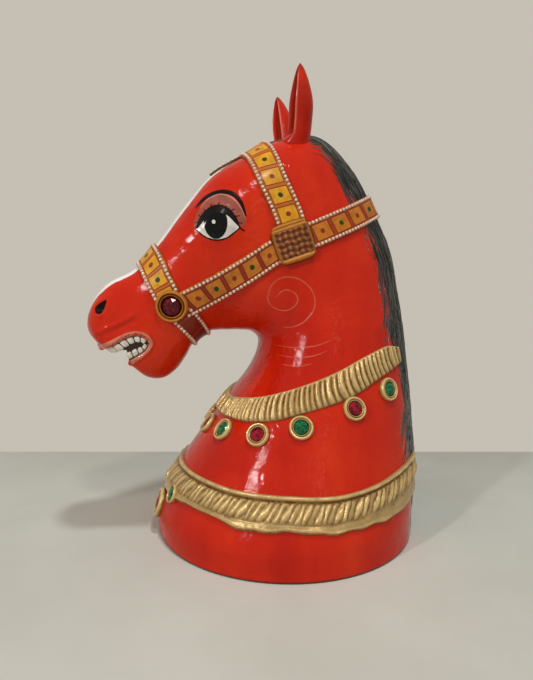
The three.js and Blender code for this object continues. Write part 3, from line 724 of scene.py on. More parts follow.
class Nodes:
    """A material's nodes, made by short calls."""

    def __init__(self, name):
        self.material = bpy.data.materials.new(name)
        self.material.use_nodes = True
        self.tree = self.material.node_tree
        self.shader = self.tree.nodes["Principled BSDF"]

    def put(self, socket, value):
        """A link, a colour or a plain value on a socket."""
        if isinstance(value, bpy.types.NodeSocket):
            self.tree.links.new(value, socket)
        elif isinstance(value, tuple):
            socket.default_value = (*value, 1.0)
        else:
            socket.default_value = value

    def node(self, kind, sockets, **settings):
        """A new node with settings, and with links or values on its sockets."""
        made = self.tree.nodes.new(kind)
        for key, value in settings.items():
            setattr(made, key, value)
        for key, value in sockets.items():
            self.put(made.inputs[key], value)
        return made

    def math(self, operation, first, second=0.0, third=0.0):
        """One operation on up to three values."""
        values = dict(enumerate((first, second, third)))
        return self.node("ShaderNodeMath", values, operation=operation).outputs[0]

    def scaled(self, value, factor, plus=0.0):
        """A value times a factor, with another value added."""
        return self.math("MULTIPLY_ADD", value, factor, plus)

    def step(self, value, low, high):
        """0 below low, 1 above high, smooth between. Low may be above high."""
        ends = {
            "Value": value, "From Min": min(low, high), "From Max": max(low, high),
            "To Min": float(low > high), "To Max": float(low < high),
        }
        return self.node("ShaderNodeMapRange", ends, interpolation_type="SMOOTHSTEP").outputs["Result"]

    def mix(self, share, first, second):
        """Mix of two colours, on the colour sockets of a mix node."""
        sockets = {"Factor": share, 6: first, 7: second}
        return self.node("ShaderNodeMix", sockets, data_type="RGBA").outputs[2]

    def value(self, name):
        """A per-point value of the mesh."""
        return self.node("ShaderNodeAttribute", {}, attribute_name=name).outputs["Fac"]

    def noise(self, scale, detail, stretch=(1, 1, 1), values=()):
        """Noise over the object's own space, or over two per-point values."""
        if values:
            joined = {axis: self.value(name) for axis, name in zip("XY", values)}
            vector = self.node("ShaderNodeCombineXYZ", joined).outputs["Vector"]
        else:
            vector = self.node("ShaderNodeTexCoord", {}).outputs["Object"]
        mapping = self.node("ShaderNodeMapping", {"Vector": vector, "Scale": Vector(stretch)})
        sockets = {"Vector": mapping.outputs["Vector"], "Scale": scale, "Detail": detail, "Roughness": 0.55}
        return self.node("ShaderNodeTexNoise", sockets).outputs["Fac"]

    def ragged(self, value, noise, reach):
        """A value moved up and down by noise, at most half the reach either way."""
        return self.scaled(self.math("SUBTRACT", noise, 0.5), reach, value)

    def bump(self, height, strength, distance):
        """Small relief, under the coat and on it."""
        sockets = {"Height": height, "Strength": strength, "Distance": distance}
        normal = self.node("ShaderNodeBump", sockets).outputs["Normal"]
        self.put(self.shader.inputs["Normal"], normal)
        self.put(self.shader.inputs["Coat Normal"], normal)

    def finish(self, colour, roughness, metallic=0.0, coat=0.0, coat_roughness=0.05, shine=0.5):
        """The material, with its colour and gloss on the shader's sockets."""
        values = {
            "Base Color": colour, "Roughness": roughness, "Metallic": metallic, "Coat Weight": coat,
            "Coat Roughness": coat_roughness, "Specular IOR Level": shine,
        }
        for name, value in values.items():
            self.put(self.shader.inputs[name], value)
        return self.material


# Materials

def lacquered(m):
    """Colour of the orange-red lacquer, with its brushed and rippled surface."""
    cloud = m.noise(9, 4)
    streak = m.noise(40, 3, stretch=(1, 1, 0.12))
    tone = m.scaled(cloud, 0.7, m.scaled(streak, 0.3))
    colour = m.mix(m.step(tone, 0.36, 0.52), (0.50, 0.012, 0.003), (0.61, 0.020, 0.004))
    colour = m.mix(m.step(tone, 0.50, 0.66), colour, (0.69, 0.036, 0.006))
    fine = m.scaled(streak, 0.6, m.noise(330, 2))
    m.bump(m.scaled(m.noise(95, 2), 3.2, fine), 0.32, 0.0008)
    return colour, m.scaled(cloud, 0.14, 0.1)


def bust_lacquer():
    """Lacquer with the painted mane, the white blaze and a dark line at the foot."""
    m = Nodes("red_lacquer")
    colour, rough = lacquered(m)
    hairs = ("across", "run")
    edge = m.ragged(m.value("mane"), m.noise(0.3, 2, (1, 0.09, 1), hairs), 11.0)
    edge = m.ragged(edge, m.noise(0.8, 2, (1, 0.06, 1), hairs), 6.0)
    shine = m.step(m.noise(0.8, 3, (1, 0.03, 1), hairs), 0.48, 0.76)
    hair = m.mix(shine, (0.008, 0.008, 0.007), (0.15, 0.152, 0.128))
    colour = m.mix(m.step(edge, -1.2, 1.2), colour, hair)
    blaze = m.ragged(m.value("blaze"), m.noise(160, 3), 2.4)
    colour = m.mix(m.step(blaze, -0.7, 0.7), colour, (0.93, 0.91, 0.86))
    colour = m.mix(m.step(m.value("foot"), 2.2, 0.8), colour, (0.06, 0.025, 0.012))
    return m.finish(colour, rough, coat=LACQUER_COAT, shine=LACQUER_SHINE)


def ear_lacquer():
    """Lacquer with a darker hollow, a pale rim, a dark tip and a small dark hole."""
    m = Nodes("ear_lacquer")
    colour, rough = lacquered(m)
    colour = m.mix(m.step(m.noise(30, 3), 0.2, 0.8), colour, (0.40, 0.010, 0.004))
    colour = m.mix(m.scaled(m.value("hollow"), 0.8), colour, (0.36, 0.022, 0.012))
    colour = m.mix(m.scaled(m.value("rim"), 0.6), colour, (0.80, 0.30, 0.21))
    colour = m.mix(m.scaled(m.value("tip"), 0.7), colour, (0.16, 0.02, 0.012))
    colour = m.mix(m.value("hole"), colour, (0.03, 0.006, 0.004))
    return m.finish(colour, rough, coat=LACQUER_COAT, shine=LACQUER_SHINE)


def paint(name, colour, dark, roughness, coat, scale=130, shine=0.25):
    """Brushed paint of two near tones."""
    m = Nodes(name)
    grain = m.noise(scale, 4)
    mixed = m.mix(m.step(grain, 0.35, 0.65), dark, colour)
    m.bump(grain, 0.12, 0.0004)
    rough = m.scaled(grain, 0.15, roughness)
    return m.finish(mixed, rough, coat=coat, coat_roughness=0.08, shine=shine)


def iris_paint():
    """Black iris with a dark green bloom."""
    m = Nodes("iris_paint")
    bloom = m.step(m.noise(60, 3), 0.4, 0.7)
    colour = m.mix(bloom, (0.003, 0.004, 0.004), (0.009, 0.015, 0.012))
    return m.finish(colour, 0.12, coat=0.12, coat_roughness=0.03, shine=0.12)


def strap_paint(name, square, ground, width, first, pitch, green_first):
    """Painted squares in red frames, with a red or green dot in each, on a ground with gilt edges."""
    m = Nodes(name)
    across = m.math("ABSOLUTE", m.value("across"))
    from_first = m.math("SUBTRACT", m.value("along"), first)
    # Squares are counted from far behind the strap, so that the count is never below zero
    cell = m.math("ADD", m.math("DIVIDE", from_first, pitch), 100.5 + green_first)
    middle = m.scaled(m.math("SUBTRACT", m.math("FRACT", cell), 0.5), pitch)
    from_dot = m.math("SQRT", m.math("ADD", m.math("POWER", middle, 2.0), m.math("POWER", across, 2.0)))
    grain = m.noise(170, 4)
    line = (0.20, 0.010, 0.005)
    half_square = 0.72 * (width / 2 - DOT_INSET)
    gilt = m.mix(m.step(grain, 0.35, 0.65), (0.26, 0.055, 0.010), (0.48, 0.17, 0.025))
    field = m.mix(grain, tuple(part * 0.65 for part in ground), ground)
    colour = m.mix(m.step(across, half_square + 0.9, half_square + 1.2), field, gilt)
    tile = m.mix(m.step(grain, 0.3, 0.7), tuple(part * 0.7 for part in square), square)
    past_end = m.math("SUBTRACT", m.math("ABSOLUTE", middle), pitch * 0.385)
    outer = m.math("MAXIMUM", past_end, m.math("SUBTRACT", across, half_square))
    colour = m.mix(m.step(outer, 0.15, -0.15), colour, tile)
    frame_line = m.math("ABSOLUTE", m.math("SUBTRACT", outer, 0.3))
    colour = m.mix(m.step(frame_line, 0.5, 0.2), colour, line)
    odd = m.math("GREATER_THAN", m.math("FRACT", m.math("DIVIDE", cell, 2.0)), 0.5)
    dot = m.mix(odd, (0.27, 0.026, 0.008), (0.016, 0.045, 0.005))
    colour = m.mix(m.step(m.scaled(m.noise(400, 2), 0.7, from_dot), 2.6, 2.0), colour, dot)
    m.bump(grain, 0.2, 0.0006)
    return m.finish(colour, m.scaled(grain, 0.2, 0.34), coat=0.12, coat_roughness=0.12, shine=0.2)


def leaf_paint():
    """Olive leaf, painted dark both in its own colour and as painted shade, with a paler vein and rim."""
    m = Nodes("leaf_paint")
    grain = m.noise(200, 4)
    # Painted shade: the dark olive also stands for the shadow the leaf lies in
    colour = m.mix(grain, (0.030, 0.022, 0.008), (0.10, 0.075, 0.02))
    colour = m.mix(m.step(m.value("crest"), 0.75, 1.0), colour, (0.10, 0.045, 0.015))
    m.bump(grain, 0.2, 0.0005)
    return m.finish(colour, 0.38, coat=0.3, coat_roughness=0.15)


def gold(name, bright, deep, roughness, metallic):
    """Metal paint with painted highlight and shade: bright on the crests, brown where it lies deep, with
    specks that fleck both.
    """
    m = Nodes(name)
    speck = m.noise(300, 4)
    # Painted highlight and shade: the crest value makes raised parts bright and grooves brown
    depth = m.ragged(m.value("crest"), speck, 0.5)
    middle = tuple((a + b) / 2 for a, b in zip(bright, deep))
    colour = m.mix(m.step(depth, 0.05, 0.45), deep, middle)
    colour = m.mix(m.step(depth, 0.4, 0.95), colour, bright)
    colour = m.mix(m.scaled(m.step(m.noise(35, 3), 0.5, 0.8), 0.35), colour, middle)
    m.bump(speck, 0.65, 0.0007)
    return m.finish(colour, m.scaled(speck, 0.25, roughness), metallic, coat=0.1, shine=0.3)


def cut_glass(name, bright, deep):
    """Foil-backed cut stone: each facet has its own depth of colour."""
    m = Nodes(name)
    cloud = m.noise(900, 2)
    colour = m.mix(m.value("facet"), deep, bright)
    colour = m.mix(m.scaled(cloud, 0.4), colour, deep)
    rough = m.scaled(cloud, 0.05, 0.05)
    return m.finish(colour, rough, metallic=0.25, coat=0.25, coat_roughness=0.02, shine=0.2)


def hair_paint():
    """Black brush strokes, some of them greyed."""
    m = Nodes("hair_paint")
    streak = m.noise(500, 3, stretch=(1, 1, 0.1))
    grey = m.mix(m.step(streak, 0.4, 0.7), (0.05, 0.052, 0.045), (0.13, 0.135, 0.115))
    colour = m.mix(m.value("tone"), (0.007, 0.007, 0.007), grey)
    return m.finish(colour, 0.36, coat=0.3, coat_roughness=0.15)


def bare_wood():
    """Plain dowel wood with grain along it."""
    m = Nodes("bare_wood")
    grain = m.noise(260, 4, stretch=(1, 1, 0.08))
    colour = m.mix(m.step(grain, 0.3, 0.7), (0.32, 0.19, 0.09), (0.56, 0.38, 0.21))
    m.bump(grain, 0.3, 0.0005)
    return m.finish(colour, 0.65)


# Bust

def cut_gap(mesh, material):
    """The mesh with the open front of the mouth cut through the muzzle."""
    count = len(TOOTH_GAP)
    points = [(x, y, z) for y in (60, -60) for x, z in TOOTH_GAP]
    faces = [tuple(range(count)), tuple(range(2 * count - 1, count - 1, -1))]
    faces += [(k, k + count, (k + 1) % count + count, (k + 1) % count) for k in range(count)]
    cutter = add_object("mouth_gap", mesh_of("mouth_gap", points, faces, material))
    work = add_object("skin", mesh)
    cut = work.modifiers.new("gap", "BOOLEAN")
    cut.operation = "DIFFERENCE"
    cut.object = cutter
    cut.solver = "EXACT"
    cut.material_mode = "TRANSFER"
    made = bpy.data.meshes.new_from_object(work.evaluated_get(bpy.context.evaluated_depsgraph_get()))
    for thing in (cutter, work):
        bpy.data.objects.remove(thing)
    return made


def blaze_depth(points):
    """How far points lie inside the white blaze on the middle of the face, negative outside it."""
    x, y, z = points[:, 0], points[:, 1], points[:, 2]
    half = lookup(BLAZE_HALF, x)
    above = lookup(BLAZE_ABOVE, x)
    return np.minimum(np.minimum(half - np.abs(y), (z - above) * 2), (BLAZE_BACK - x) * 1.5)


def back_run(points):
    """How far along the line of the back points lie, from the foot to the muzzle, and how far below it."""
    line = spline(np.array(SLICES, float)[:, 2:4], np.linspace(0, 1, 160))
    lengths = arc_lengths(line)
    nearest = np.zeros(len(points))
    best = np.full(len(points), 1e9)
    for (x, z), length in zip(line, lengths):
        away = np.hypot(points[:, 0] - x, points[:, 2] - z)
        nearest = np.where(away < best, length, nearest)
        best = np.minimum(away, best)
    return nearest, best


def make_bust():
    """The carved skin, with the values that place the mane, the blaze and the line at the foot."""
    dark = paint("mouth_paint", (0.05, 0.016, 0.010), (0.020, 0.008, 0.006), 0.4, 0.2)
    mesh = cut_gap(mesh_of("bust", *capped(carved_rows), bust_lacquer()), dark)
    points = np.zeros(len(mesh.vertices) * 3)
    mesh.vertices.foreach_get("co", points)
    points = points.reshape(-1, 3) / METRES
    run, away = back_run(points)
    add_values(mesh, "mane", mane_depth(points))
    add_values(mesh, "blaze", blaze_depth(points))
    add_values(mesh, "foot", points[:, 2])
    add_values(mesh, "run", run)
    add_values(mesh, "across", np.sign(points[:, 1]) * np.hypot(points[:, 1], away))
    piece_of(mesh, "bust", 50, "red_lacquer", "carved_bust")


# Painted face

def painted(name, material, fill):
    """A painted layer on both sides of the bust."""
    left = Pile()
    fill(left)
    both = left.mirror()
    both.add(np.vstack(left.points), left.faces)
    both.build(name, material, 60, "red_lacquer")


def painted_area(name, material, outline, lift, spacing=1.3):
    """A painted area on both sides of the bust."""
    painted(name, material, lambda pile: paint_area(pile, outline, lift, spacing))


def painted_strokes(name, material, lines, width, lift, taper):
    """Brush strokes on both sides of the bust."""

    def fill(pile):
        for line in lines:
            paint_stroke(pile, line, width, lift, taper)

    painted(name, material, fill)


def ellipse(centre, size, count=48):
    """Points of an upright ellipse."""
    turn = full_turn(count)
    return np.stack([centre[0] + size[0] * np.cos(turn), centre[1] + size[1] * np.sin(turn)], -1)


def make_eyes():
    """Lids, eyes with their lashes, brows and nostrils, each layer of paint over the last."""
    black = paint("black_paint", (0.010, 0.007, 0.006), (0.005, 0.004, 0.004), 0.3, 0.05, shine=0.08)
    white = paint("eye_white_paint", (0.80, 0.77, 0.72), (0.66, 0.62, 0.56), 0.25, 0.6)
    lid = paint("lid_paint", (0.36, 0.092, 0.060), (0.28, 0.064, 0.042), 0.42, 0.1)
    # The pale lid rim is a painted highlight along the lid's upper edge
    rim = paint("lid_highlight_paint", (0.60, 0.27, 0.21), (0.48, 0.19, 0.14), 0.3, 0.5)

    # The lid's lower edge is hidden under the liner
    lid_foot = EYE_LINE * 0.88 + np.array(IRIS_AT) * 0.12
    lid_outline = np.vstack([smooth_line(LID_TOP, 44), [LID_BACK], lid_foot[::-1], [LID_FRONT]])
    iris = ellipse(IRIS_AT, IRIS_SIZE)
    iris = iris[outline_distance(iris[:, 0], iris[:, 1], EYE_OUTLINE) < 0.3]
    liner = np.vstack([EYE_LINE, smooth_line([EYE_CORNER] + LINER_FOOT[::-1], 40)[1:]])

    def lines(pile):
        paint_stroke(pile, BROW, width=3.4, lift=LASH_LIFT, taper=0.75)
        upper = EYE_TOP + [EYE_CORNER, EYE_TAIL]
        paint_stroke(pile, upper, width=2.0, lift=LINER_LIFT, taper=0.5)
        lower = [EYE_TOP[0]] + EYE_BOTTOM[::-1] + [EYE_CORNER]
        paint_stroke(pile, lower, width=1.3, lift=LINER_LIFT, taper=0.3)
        for root in EYE_LINE[4:-3:4]:
            way = unit(root - np.array(IRIS_AT))
            lash = [root, root + way * 1.5 + (0.2, 0), root + way * 3.2 + (0.8, 0)]
            paint_stroke(pile, lash, width=0.85, lift=LASH_LIFT, taper=0.6)

    painted_area("eyelids", lid, lid_outline, LID_LIFT)
    # Painted highlight: a pale stroke along the lid's upper edge
    painted_strokes("eyelid_highlights", rim, [LID_TOP[1:]], width=1.3, lift=0.25, taper=0.8)
    painted_area("eye_whites", white, EYE_OUTLINE, WHITE_LIFT)
    painted_area("eye_irises", iris_paint(), iris, IRIS_LIFT)
    painted_area("eye_liners", black, liner, LINER_LIFT)
    painted_area("eye_glints", white, ellipse(GLINT_AT, GLINT_SIZE, 20), GLINT_LIFT, 0.7)
    painted("eye_lines", black, lines)
    painted_area("nostril_paint", black, NOSTRIL_OUTLINE, LID_LIFT)


def make_mouth():
    """Lips, teeth, and dark gums that are also painted shade in the mouth's recess."""
    salmon = paint("lip_paint", (0.62, 0.20, 0.12), (0.52, 0.13, 0.07), 0.28, 0.5)
    # Painted shade: the dark gums also stand for the shade in the recess behind the teeth
    dark = paint("gum_and_shade_paint", (0.030, 0.012, 0.008), (0.014, 0.007, 0.005), 0.35, 0.3)
    ivory = paint("tooth_paint", (0.82, 0.78, 0.70), (0.68, 0.63, 0.54), 0.3, 0.4, 300)
    painted_area("lips", salmon, LIP_OUTLINE, LIP_LIFT, 1.1)
    painted_area("gums_and_shade", dark, np.vstack([MOUTH_LINE, GUM_AND_SHADE_FRONT]), LIP_LIFT, 1.1)
    painted("teeth", ivory, teeth)


def teeth(pile):
    """Rounded teeth along the upper and the lower edge of the open mouth."""
    split = int(np.argmin(np.linalg.norm(MOUTH_LINE - MOUTH_CORNER, axis=1)))
    upper = even_line(MOUTH_LINE[2:split - 1], 200)
    lower = even_line(MOUTH_LINE[split + 1:][::-1], 200)
    for line, count, tall, inward in ((upper, 6, 6.4, -1), (lower, 4, 5.4, 1)):
        for k in range(count):
            length = tall * (1 - 0.42 * (k / (count - 1)) ** 2)
            tooth(pile, line, (k + 0.06) / count, (k + 0.94) / count, length, inward)


def tooth(pile, line, start, end, tall, inward):
    """One tooth between two shares of a line, that stands inward from it."""
    spread = np.linspace(-1, 1, 9)

    def hit(i, j):
        a, b = spread[i], spread[j]
        round_a = a * (1 - 0.12 * b ** 4)
        round_b = b * (1 - 0.14 * a ** 4)
        share = start + (end - start) * (round_a + 1) / 2 + 0.018 * round_b
        index = int(min(max(share, 0.0), 1.0) * (len(line) - 2))
        along = unit(line[index + 1] - line[index])
        inner = np.array([-along[1], along[0]]) * inward
        return side_hit(*(line[index] + inner * (0.45 + tall * (round_b + 1) / 2)), plain_tree)

    feet, normals = hit_grid(len(spread), len(spread), hit)
    from_middle = np.maximum.outer(np.abs(spread), np.abs(spread))
    slab(pile, feet, normals, -0.7 - 0.9 * from_middle ** 4, 2.6)


def make_flourishes():
    """The faint scroll on the cheek and the lines across the throat."""
    faint = paint("faint_paint", (0.66, 0.10, 0.045), (0.56, 0.055, 0.022), 0.25, 0.5)
    painted_strokes("cheek_scrolls", faint, [SCROLL], width=1.15, lift=0.14, taper=0.4)
    painted_strokes("throat_lines", faint, THROAT_LINES, width=0.9, lift=0.12, taper=0.8)


def make_mane():
    """Brush strokes of the mane and forelock, over the black ground that the bust carries."""
    chance = random.Random(STROKE_SEED)
    pile = Pile()
    while pile.count < STROKE_POINTS:
        along = chance.uniform(*STROKES_ALONG)
        turn = chance.uniform(-STROKES_TURN, STROKES_TURN)
        start = skin_at(np.array(along), np.array(turn))
        _, y, z = start
        depth = float(mane_depth(start))
        under_collar = COLLAR_REAR[0] < z < COLLAR_REAR[1] and abs(y) > COLLAR_END - 5
        under_band = z < BAND_REAR_TOP and abs(y) > BAND_END - 5
        if depth > -0.5 and z > STROKES_ABOVE and not under_collar and not under_band:
            hair_stroke(pile, along, turn, depth, chance)
    pile.build("mane_strokes", hair_paint(), 70, "red_lacquer")


def hair_stroke(pile, along, turn, depth, chance):
    """One tapered stroke that runs down the neck from a place on the skin."""
    length = chance.uniform(20, 40) * (0.7 if depth < 4 else 1.0)
    width = chance.uniform(0.8, 1.9)
    drift = (chance.uniform(0.06, 0.17) if depth < 5 else chance.uniform(-0.02, 0.07)) * np.sign(turn)
    tone = 1.0 if chance.random() < 0.22 else chance.uniform(0, 0.12)
    step = 1e-3
    here = skin_at(np.array([along, along - step]), np.array([turn, turn]))
    reach = length * step / np.linalg.norm(here[1] - here[0])
    share = np.linspace(0, 1, 12)
    middle = skin_at(np.maximum(along - reach * share, 0.004), turn + drift * share)
    hits = [nearest_hit(point, carved_tree) for point in middle]
    points, normals = (np.array([hit[k] for hit in hits])[:, None] for k in range(2))
    side = unit(np.cross(normals, np.gradient(middle, axis=0)[:, None]))
    wide = width * np.sin(math.pi * (0.25 + 0.73 * share)) ** 0.9
    feet = points + side * (wide[:, None] * (-0.5, 0, 0.5))[..., None]
    normals = np.broadcast_to(normals, feet.shape)
    slab(pile, feet, normals, np.array([0.1, 0.3, 0.1]), PAINT_SINK, tone=tone)


# Ears

def ear(front):
    """A hollow leaf-shaped ear of the left side, that opens towards a direction."""
    foot, tip = np.array(EAR_FOOT), np.array(EAR_TIP)
    length = np.linalg.norm(tip - foot) * 1.004
    axis = unit(tip - foot)
    front = unit(front - axis * (front @ axis))
    side = np.cross(axis, front)
    girths = smooth_line(EAR_GIRTHS, 120)
    lip = np.linspace(0.25, 0.8, 12)
    back = np.linspace(0.9, 2 * math.pi - 0.9, 60)
    turn = np.concatenate([np.linspace(-0.2, 0.2, 4), lip, back, 2 * math.pi - lip[::-1]])
    from_front = np.minimum(np.abs(turn), 2 * math.pi - turn)
    slot = 1 - ease(0.4, 0.72, from_front)
    rows = []
    values = {"hollow": [], "rim": [], "tip": [], "hole": []}
    for t in np.concatenate([np.linspace(-0.14, 0.9, 44), np.linspace(0.92, 1, 10)]):
        girth = lookup(girths, t)
        bow = 1.6 * math.sin(math.pi * max(t, 0))
        open_here = ease(0.02, 0.2, t) * (1 - ease(0.84, 0.98, t))
        hole = bump(turn - EAR_HOLE_TURN, 0.2) * bump(t - 0.12, 0.055)
        flare = 4 * np.maximum(np.cos(turn), 0) * (1 - ease(-0.05, 0.16, t))
        depth = EAR_HALF_DEPTH * girth * (np.cos(turn) - 0.7 * open_here * slot) - bow + flare
        width = EAR_HALF_WIDTH * girth * (np.sin(turn) + 0.25 * hole)
        rows.append(foot + axis * t * length + depth[:, None] * front + width[:, None] * side)
        values["hollow"].append(slot * open_here)
        values["rim"].append(bump(from_front - 0.76, 0.09) * open_here)
        values["tip"].append(np.full(len(turn), ease(0.88, 1.0, t)))
        values["hole"].append(ease(0.35, 0.6, hole))
    pile = Pile()
    for name, parts in values.items():
        values[name] = np.concatenate(parts + [[parts[0].mean(), parts[-1].mean()]])
    pile.add(*capped(rows), **values)
    return pile


def make_ears():
    """Both ears, each turned a little differently, on plain dowels."""
    red = ear_lacquer()
    left = ear(np.array([-0.985, -0.17, 0]))
    right = ear(np.array([-0.93, 0.37, 0])).mirror()
    left.build("ear_left", red, 70, "red_lacquer", "left_ear")
    right.build("ear_right", red, 70, "red_lacquer", "right_ear")
    wood = bare_wood()
    for name in ("left_ear_dowel", "right_ear_dowel"):
        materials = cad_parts[name].data.materials
        materials.clear()
        materials.append(wood)


# Bridle

def strap_grid(line, centre, low, high, width):
    """Skin under a strap along a side-view line, between two turns about a centre, and its lengths."""
    heading = unit(np.array([line[-1][0] - line[0][0], 0, line[-1][1] - line[0][1]]))
    across_way = np.array([-heading[2], 0, heading[0]])
    centre = np.array([centre[0], 0, centre[1]])
    dense = np.insert(smooth_line(line, 80), 1, 0, axis=1) - centre
    ahead, aside = dense @ heading, dense @ across_way

    def hit(turn, across):
        direction = math.cos(turn) * heading + np.array([0, math.sin(turn), 0])
        shift = across
        for _ in range(4):
            point, normal = leaving_hit(centre + across_way * shift, direction)
            shift = across + np.interp((point - centre) @ heading, ahead, aside)
        return point, normal

    turns = np.linspace(low, high, 240)
    middle = np.array([hit(turn, 0)[0] for turn in turns])
    lengths = arc_lengths(middle)
    wanted = np.linspace(0, lengths[-1], int(lengths[-1]) + 1)
    half = width / 2
    right = np.concatenate([np.linspace(0, half - 3.2, 6), half - np.array([DOT_INSET, 0.8, 0.3, 0])])
    across = np.concatenate([-right[:0:-1], right])
    spots = np.interp(wanted, lengths, turns)
    feet, normals = hit_grid(len(spots), len(across), lambda i, j: hit(spots[i], across[j]))
    smooth = normals + 0.5 * (np.roll(normals, 1, 0) + np.roll(normals, -1, 0))
    smooth[0], smooth[-1] = smooth[1], smooth[-2]
    start = np.linalg.norm(middle[0] - side_hit(*line[0])[0])
    return feet, unit(smooth), wanted + start, across


def bead(pile, place, normal, radius, height):
    """A small round dot of raised paint."""
    profile = [(1, -0.3), (1, 0.1), (0.9, height * 0.55), (0.55, height * 0.9), (0.15, height)]
    lathe(pile, [(radius * share, tall) for share, tall in profile], (place, normal), 8)


def strap(pile, dots, grid, width):
    """A strap with rounded edges, and its two rows of dots."""
    feet, normals, along, across = grid
    half = width / 2
    top = GAP + STRAP_THICKNESS
    edge = np.abs(across) / half
    profile = top - 0.9 * edge ** 12 + 0.35 * bump((edge - 0.93) * half, 0.8)
    slab(pile, feet, normals, profile, STRAP_SINK, along=along[:, None], across=across[None, :])
    for sign in (-1, 1):
        j = int(np.argmin(np.abs(across - sign * (half - DOT_INSET))))
        line = feet[:, j] + normals[:, j] * (top - 0.05)
        lengths = arc_lengths(line)
        spots = np.arange(DOT_PITCH / 2, lengths[-1], DOT_PITCH)
        places = resample(line, lengths, spots)
        for place, out in zip(places, unit(resample(normals[:, j], lengths, spots))):
            bead(dots, place, out, DOT_RADIUS, DOT_HEIGHT)


def make_bridle():
    """The five straps in their own tones, the leaf and all the dots."""
    yellow, amber, dim = (0.78, 0.36, 0.018), (0.62, 0.20, 0.020), (0.24, 0.024, 0.012)
    orange, brown, maroon = (0.62, 0.15, 0.018), (0.38, 0.055, 0.012), (0.34, 0.032, 0.008)
    white = paint("dot_paint", (0.83, 0.68, 0.57), (0.70, 0.48, 0.36), 0.35, 0.3, 500)
    dots = Pile()

    def piece(name, node, grid, width, square, ground, first, pitch, green_first=False):
        """One strap with its dots, and for the left cheek also the right one."""
        if node != "left_cheek_strap":
            # Straps over the head have the same squares on both sides
            run = grid[2][0] + grid[2][-1] - 2 * first
            pitch = run / round(run / pitch)
        material = strap_paint(name + "_paint", square, ground, width, first, pitch, green_first)
        pile = Pile()
        own_dots = Pile()
        strap(pile, own_dots, grid, width)
        dots.add(np.vstack(own_dots.points), own_dots.faces)
        pile.build(name, material, 50, "strap_paint", node)
        if node == "left_cheek_strap":
            own_dots.mirror(dots)
            right_name, right_node = name.replace("left", "right"), node.replace("left", "right")
            pile.mirror().build(right_name, material, 50, "strap_paint", right_node)

    def around(line, start, width):
        """The grid of a strap over the head, from the left end of its line to the right one."""
        return strap_grid(line, line[0], start - math.pi / 2, math.pi / 2 - start, width)

    brow = around(BROW_LINE, 0.2, BROWBAND_WIDTH)
    piece("browband_strap", "browband", brow, BROWBAND_WIDTH, yellow, orange, first=21.7, pitch=15.4)
    crown = around(CROWN_LINE, 0.2, CROWN_WIDTH)
    piece("crown_band", "crown_strap", crown, CROWN_WIDTH, amber, brown, first=25, pitch=17.9)
    middle = (np.array(CHEEK_LINE[0]) + CHEEK_LINE[-1]) / 2
    cheek = strap_grid(CHEEK_LINE, middle, -math.radians(132), -math.radians(34), CHEEK_WIDTH)
    piece("left_cheek_band", "left_cheek_strap", cheek, CHEEK_WIDTH, amber, maroon, first=21.6, pitch=16)
    nose = around(NOSE_LINE, 0.25, NOSEBAND_WIDTH)
    piece(
        "noseband_strap", "noseband", nose, NOSEBAND_WIDTH, yellow, orange, first=21.8, pitch=14.5,
        green_first=True)
    chin = around(CHIN_LINE, 0.3, CHIN_WIDTH)
    piece("chin_band", "chin_strap", chin, CHIN_WIDTH, dim, brown, first=22, pitch=14.5)
    make_drop(dots)
    dots.build("strap_dots", white, 80, "strap_paint")


def make_drop(dots):
    """The leaf that hangs on the forehead in front of the browband."""
    along, across = np.linspace(0, 1, 24), np.linspace(-1, 1, 13)
    half = DROP_WIDTH / 2 * (0.62 * (1 - along) + 2.25 * along * (1 - along) ** 0.8 + 0.02)

    def hit(i, j):
        place = (DROP_AT - 3 - DROP_LENGTH * along[i], half[i] * across[j], OVERHEAD)
        return cast_hit(place, (0, 0, -1))

    feet, normals = hit_grid(len(along), len(across), hit)
    crest = np.maximum(bump(np.abs(across) - 1, 0.16), bump(across, 0.08))
    profile = GAP + STRAP_THICKNESS * (0.7 + 0.3 * crest) - 0.8 * np.abs(across) ** 8
    pile = Pile()
    slab(pile, feet, normals, profile, STRAP_SINK, crest=crest[None, :])
    pile.build("forehead_leaf", leaf_paint(), 50, "strap_paint", "forehead_drop")
    for j in (1, len(across) - 2):
        for i in range(1, len(along) - 1, 3):
            place = feet[i, j] + normals[i, j] * STRAP_THICKNESS
            bead(dots, place, normals[i, j], LEAF_DOT_RADIUS, DOT_HEIGHT)


def rosette_reach(turn):
    """Outline radius of the rounded square at an angle."""
    power = 4.2
    corners = np.abs(np.cos(turn)) ** power + np.abs(np.sin(turn)) ** power
    return ROSETTE_SIZE / 2 / corners ** (1 / power)


